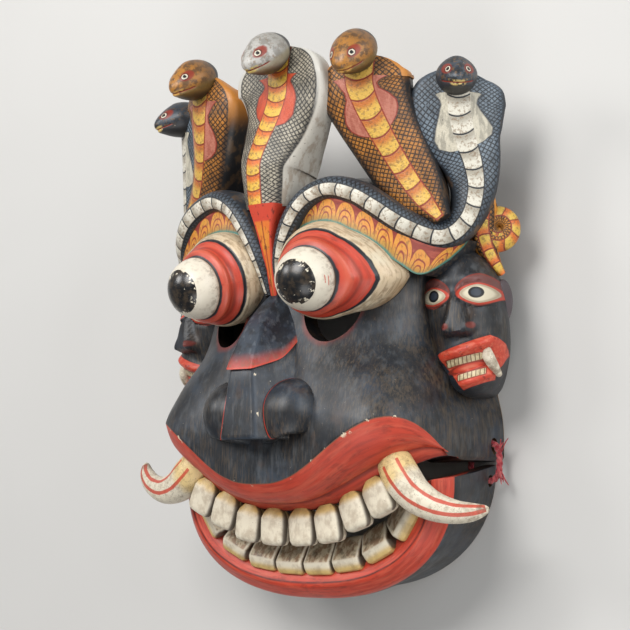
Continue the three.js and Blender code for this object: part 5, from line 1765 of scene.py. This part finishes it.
def lower_tooth(index, side, material):
    """Upright at the gum and bevelled back above, with rounded sides"""
    x, y, lean = LOWER_TEETH[index]
    half_width, half_height, z = LOWER_TOOTH.values()
    right, scale = np.array(LOWER_HALF).T
    across = np.concatenate([-right[:0:-1], right])[:, None]
    scale = np.concatenate([scale[:0:-1], scale])[:, None]
    up, depth = np.array(LOWER_PROFILE).T
    corners = np.stack([across * half_width + 0 * up, up * half_height * scale, depth * scale], -1)
    rings = rounded(corners, 5, 1)
    guides = [rings[..., 1] / half_height, np.abs(rings[..., 0]) / half_width]
    rings = turned(rings, 0, 0, lean) + np.array([x, y, z])
    return skin("lower tooth", flipped(rings, side), material, guides)


# Lower jaw


def jaw_wall(material):
    """The jaw's curved wall, its section rounded over lip and gum shelf"""
    outline = [JAW_RIM, JAW_SIDE, JAW_LIP, JAW_LIP_MIDDLE, JAW_GUM, JAW_GUM_BACK, JAW_WALL_BACK, JAW_RIM_BACK]
    turn = np.pi * np.linspace(0, 1, 150)
    corners = []
    for half_width, start, drop, squareness, height in outline:
        u, v = squared(turn, squareness)
        corners.append(np.stack([u * half_width, start - v * drop, np.full_like(u, height)], -1))
    steps = 7
    lip, gum_back = (steps * outline.index(corner) for corner in (JAW_LIP, JAW_GUM_BACK))
    rings = rounded(np.stack(corners, 1), steps, 2)
    rings[..., 2] = np.maximum(rings[..., 2], 0)
    lengths = np.linalg.norm(np.diff(rings, axis=1, prepend=rings[:, :1]), axis=2).cumsum(axis=1)
    around = run_of(rings[:, lip])[:, None]
    inside = (np.arange(rings.shape[1]) > gum_back)[None] + 0 * around
    guides = [lengths - lengths[:, lip:lip + 1], around + 0 * lengths, inside]
    return skin("jaw wall", rings, material, guides)


# Lashings


def lashing_path(turn):
    """Closed path out through the upper hole, over the gap and back in below"""
    u, v = squared(turn, 3)
    upper, lower = LASHING["upper"], LASHING["lower"]
    x = LASHING["x"] + u * LASHING["half_width"]
    return np.stack([x, (upper + lower) / 2 + v * (upper - lower) / 2, np.full_like(turn, LASHING["z"])], -1)


def ring_tube(centres, out, radius, sides):
    """Rings round a closed line in a level plane, whose outward directions are given"""
    angle = full_turn(sides)[None, :, None]
    up = np.array([0, 0, 1.0])
    return centres[:, None] + (out[:, None] * np.cos(angle) + up * np.sin(angle)) * radius


def lashing_hole(side, material):
    """The cloth's round channel through face and jaw, as a body to cut away"""
    turn = full_turn(48)
    out = np.stack([np.cos(turn), np.sin(turn), 0 * turn], -1)
    rings = ring_tube(lashing_path(turn), out, LASHING["hole"], 16)
    return ring_skin("lashing hole", flipped(rings, side), material)


def fray(side, level, rise, k, material):
    """One loose end of the cloth, hanging from a hole"""
    share = np.linspace(0, 1, 9)
    swing = math.radians(50 * k)
    drift = np.array([0.35 + 0.25 * math.cos(swing), rise, 0.5 * math.sin(swing)])
    outside = LASHING["x"] + LASHING["half_width"] + 1.5
    start = np.array([outside, level, LASHING["z"] + STRANDS["radius"] * math.sin(swing)])
    curl = np.array([0.0, 0.0, 1.0]) * (2.0 * np.sin(share * 3 + k))[:, None]
    path = start + (drift * (11 + 2 * math.cos(3 * swing)) + curl) * share[:, None]
    rings, _, _ = tube_rings(np.column_stack([path, 0.9 - 0.5 * share]), 10, 6)
    return skin("fray", flipped(rings, side), material)


def lashing(side, material):
    """Twisted cloth strands with frayed ends at the upper and the lower hole"""
    count, twists, off, radius = STRANDS.values()
    turn = full_turn(84)
    out = np.stack([np.cos(turn), np.sin(turn), 0 * turn], -1)
    up = np.array([0, 0, 1.0])
    strands = []
    for k in range(count):
        phase = twists * turn + k * 2 * np.pi / count
        wound = out * (off * np.cos(phase))[:, None] + up * (off * np.sin(phase))[:, None]
        rings = ring_tube(lashing_path(turn) + wound, out, radius, 9)
        strands.append(ring_skin("strand", flipped(rings, side), material))
    for level, rise, ends in FRAYS:
        strands += [fray(side, level, rise, k, material) for k in range(ends)]
    return joined(strands)


# Pieces


# Belly bands and blotches are half widths at a level or a length; the shift moves the outer band aside
CENTRE_BAND = {"by": "level", "table": [(72, 7.5), (130, 8), (160, 9.5), (185, 11), (209, 12)]}
INNER_BAND = {"by": "level", "table": [(62, 3), (78, 7), (120, 8.5), (160, 10.5), (190, 13), (200, 13)]}
OUTER_BAND = {"by": "length", "table": [(0, 1.5), (60, 4), (120, 5.2), (270, 6.5), (310, 8.5), (420, 11)]}
OUTER_SHIFT = [(0, 0), (60, 2), (230, 2.5), (290, 0), (420, 0)]
TAIL_BAND = {"by": "length", "table": [(0, 6), (70, 4)]}
NO_BLOTCH = [(0, -FAR), (1, -FAR)]
CENTRE_BLOTCH = [
    (143, -9), (147, 8), (151, 16), (158, 21), (170, 21), (176, 17.5), (181, 14), (185, 17), (188, 22),
    (189, 0),
]
INNER_BLOTCH = [
    (131, -9), (134, 10), (138, 17), (144, 22), (150, 23), (157, 20), (164, 14.5), (169, 14), (174, 18),
    (178, 23), (179, 0),
]
OUTER_BLOTCH = [
    (119, -9), (121, 12), (126, 22), (132, 24), (140, 21), (148, 17), (156, 14), (160, 15), (165, 19),
    (167, 0),
]


def crest():
    """The five cobras and the two tails with their coils"""
    hoods = {name: cobra_paint(f"{name} paint", look) for name, look in COBRA_LOOKS.items()}
    heads = {name: head_paint(f"{name} head paint", look) for name, look in HEAD_LOOKS.items()}
    centre, inner, outer, tail = hoods.values()
    parts = [
        snake("centre cobra", CENTRE_COBRA, 1, 90, centre, CENTRE_BAND, CENTRE_BLOTCH),
        snake_head("centre", 1, heads["centre"]),
    ]
    for side in (1, -1):
        parts += [
            snake("inner cobra", INNER_COBRA, side, 100, inner, INNER_BAND, INNER_BLOTCH),
            snake_head("left_inner" if side > 0 else "right_inner", side, heads["inner"]),
            snake("outer snake", OUTER_SNAKE, side, 180, outer, OUTER_BAND, OUTER_BLOTCH, OUTER_SHIFT),
            snake_head("outer", side, heads["outer"]),
            snake("tail", TAIL, side, 50, tail, TAIL_BAND, NO_BLOTCH),
            tail_coil(side, tail),
        ]
    return parts


def both_sides(make, material):
    """A body for the left side and one for the right"""
    return [make(side, material) for side in (1, -1)]


def mask_face():
    """The carved face: shell and carving joined, hollowed, then teeth and tusks added and holes cut"""
    face, wood, ivory = face_paint(), bare_wood(), tusk_paint()
    eyes, brows, sides, teeth = eye_paint(), brow_paint(), side_paint(), upper_tooth_paint()
    shell = carve(face_shell(face), both_sides(eye_hole, dark_inside()), "DIFFERENCE")
    carving = [nose(face), nose_saddle(face), wedge(wedge_paint())]
    for side in (1, -1):
        carving += [nostril(side, face), eye(side, eyes), brow(side, brows)]
        carving += [side_face(side, sides), side_ear(side, sides), side_tusk(side, ivory)]
    carve(shell, carving + crest(), "UNION")
    carve(shell, [face_hollow(wood)], "DIFFERENCE")
    bite = [upper_tooth(i, side, teeth) for i in range(len(UPPER_TEETH)) for side in (1, -1)]
    bite += [tusk(RIGHT_TUSK, 1, ivory), tusk(LEFT_TUSK, -1, ivory)]
    carve(shell, bite, "UNION")
    carve(shell, both_sides(lashing_hole, wood), "DIFFERENCE")
    return placed(shell, "mask_face_painted", "face", "mask_face", "painted_wood_black")


def lower_jaw():
    """The jaw with its teeth, pierced for the lashings"""
    wall = jaw_wall(jaw_paint())
    teeth = lower_tooth_paint()
    carve(wall, [lower_tooth(i, side, teeth) for i in range(len(LOWER_TEETH)) for side in (1, -1)], "UNION")
    carve(wall, both_sides(lashing_hole, bpy.data.materials["bare wood"]), "DIFFERENCE")
    return placed(wall, "lower_jaw_painted", "jaw", "lower_jaw", "painted_wood_red")


def placed(piece, name, rides_on, node, slot):
    """Names a finished piece and ties it to its solid"""
    piece.name = name
    shaded(piece)
    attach(piece, rides_on)
    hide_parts(node)
    return piece


def lashings():
    """The two ties, whose cloth stretches between the face and the jaw"""
    cloth = cloth_paint()
    for side, word in ((1, "left"), (-1, "right")):
        piece = shaded(lashing(side, cloth), 60)
        piece.name = f"lashing_{word}_cloth"
        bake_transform(piece)
        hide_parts(f"lashing_{word}")


# Studio


def camera():
    """The photograph's viewing angle: to the mask's left of its face and a little below"""
    turn, rise = math.radians(CAMERA["left_of_face"]), math.radians(CAMERA["above_face"])
    toward = Vector((math.sin(turn) * math.cos(rise), math.sin(rise), math.cos(turn) * math.cos(rise)))
    right = Vector((math.cos(turn), 0, -math.sin(turn)))
    up = toward.cross(right)
    place = toward * CAMERA["distance"] + right * CAMERA["aside"] - Vector((0, MIDDLE_LEVEL / 1000, 0))
    made = bpy.data.objects.new("camera", bpy.data.cameras.new("camera"))
    made.data.lens = CAMERA["lens"]
    made.data.sensor_width = 36
    made.matrix_world = Matrix.Translation(place) @ Matrix((right, up, toward)).transposed().to_4x4()
    bpy.context.scene.collection.objects.link(made)
    bpy.context.scene.camera = made


def soft_light(name, place, size, power, tint):
    """A round soft light turned to the mask"""
    data = bpy.data.lights.new(name, "AREA")
    data.shape = "DISK"
    data.size = size
    data.energy = power
    data.color = tint
    made = bpy.data.objects.new(name, data)
    made.location = place
    made.rotation_mode = "QUATERNION"
    made.rotation_quaternion = (Vector(LIT_PLACE) - Vector(place)).to_track_quat("-Z", "Y")
    bpy.context.scene.collection.objects.link(made)


def ground():
    """The plain floor under the mask"""
    reach, z = FLOOR["reach"], FLOOR["z"]
    mesh = bpy.data.meshes.new("floor")
    corners = [(-reach, -reach, z), (reach, -reach, z), (reach, reach, z), (-reach, reach, z)]
    mesh.from_pydata(corners, [], [(0, 1, 2, 3)])
    floor = bpy.data.objects.new("floor", mesh)
    bpy.context.scene.collection.objects.link(floor)
    paint = Paint("floor", srgb(206, 204, 200))
    paint.lay(srgb(198, 196, 192), paint.cloud(300, 2.0))
    mesh.materials.append(paint.finish(0.9, 0.0, 0.2))


def studio():
    """Floor, lights and sky"""
    ground()
    for light in LIGHTS:
        soft_light(*light)
    world = bpy.data.worlds.new("studio")
    world.use_nodes = True
    background = world.node_tree.nodes["Background"]
    background.inputs[0].default_value = SKY["tint"]
    background.inputs[1].default_value = SKY["strength"]
    bpy.context.scene.world = world
    bpy.context.scene.view_settings.view_transform = "Standard"


camera()
mask_face()
lower_jaw()
lashings()
studio()
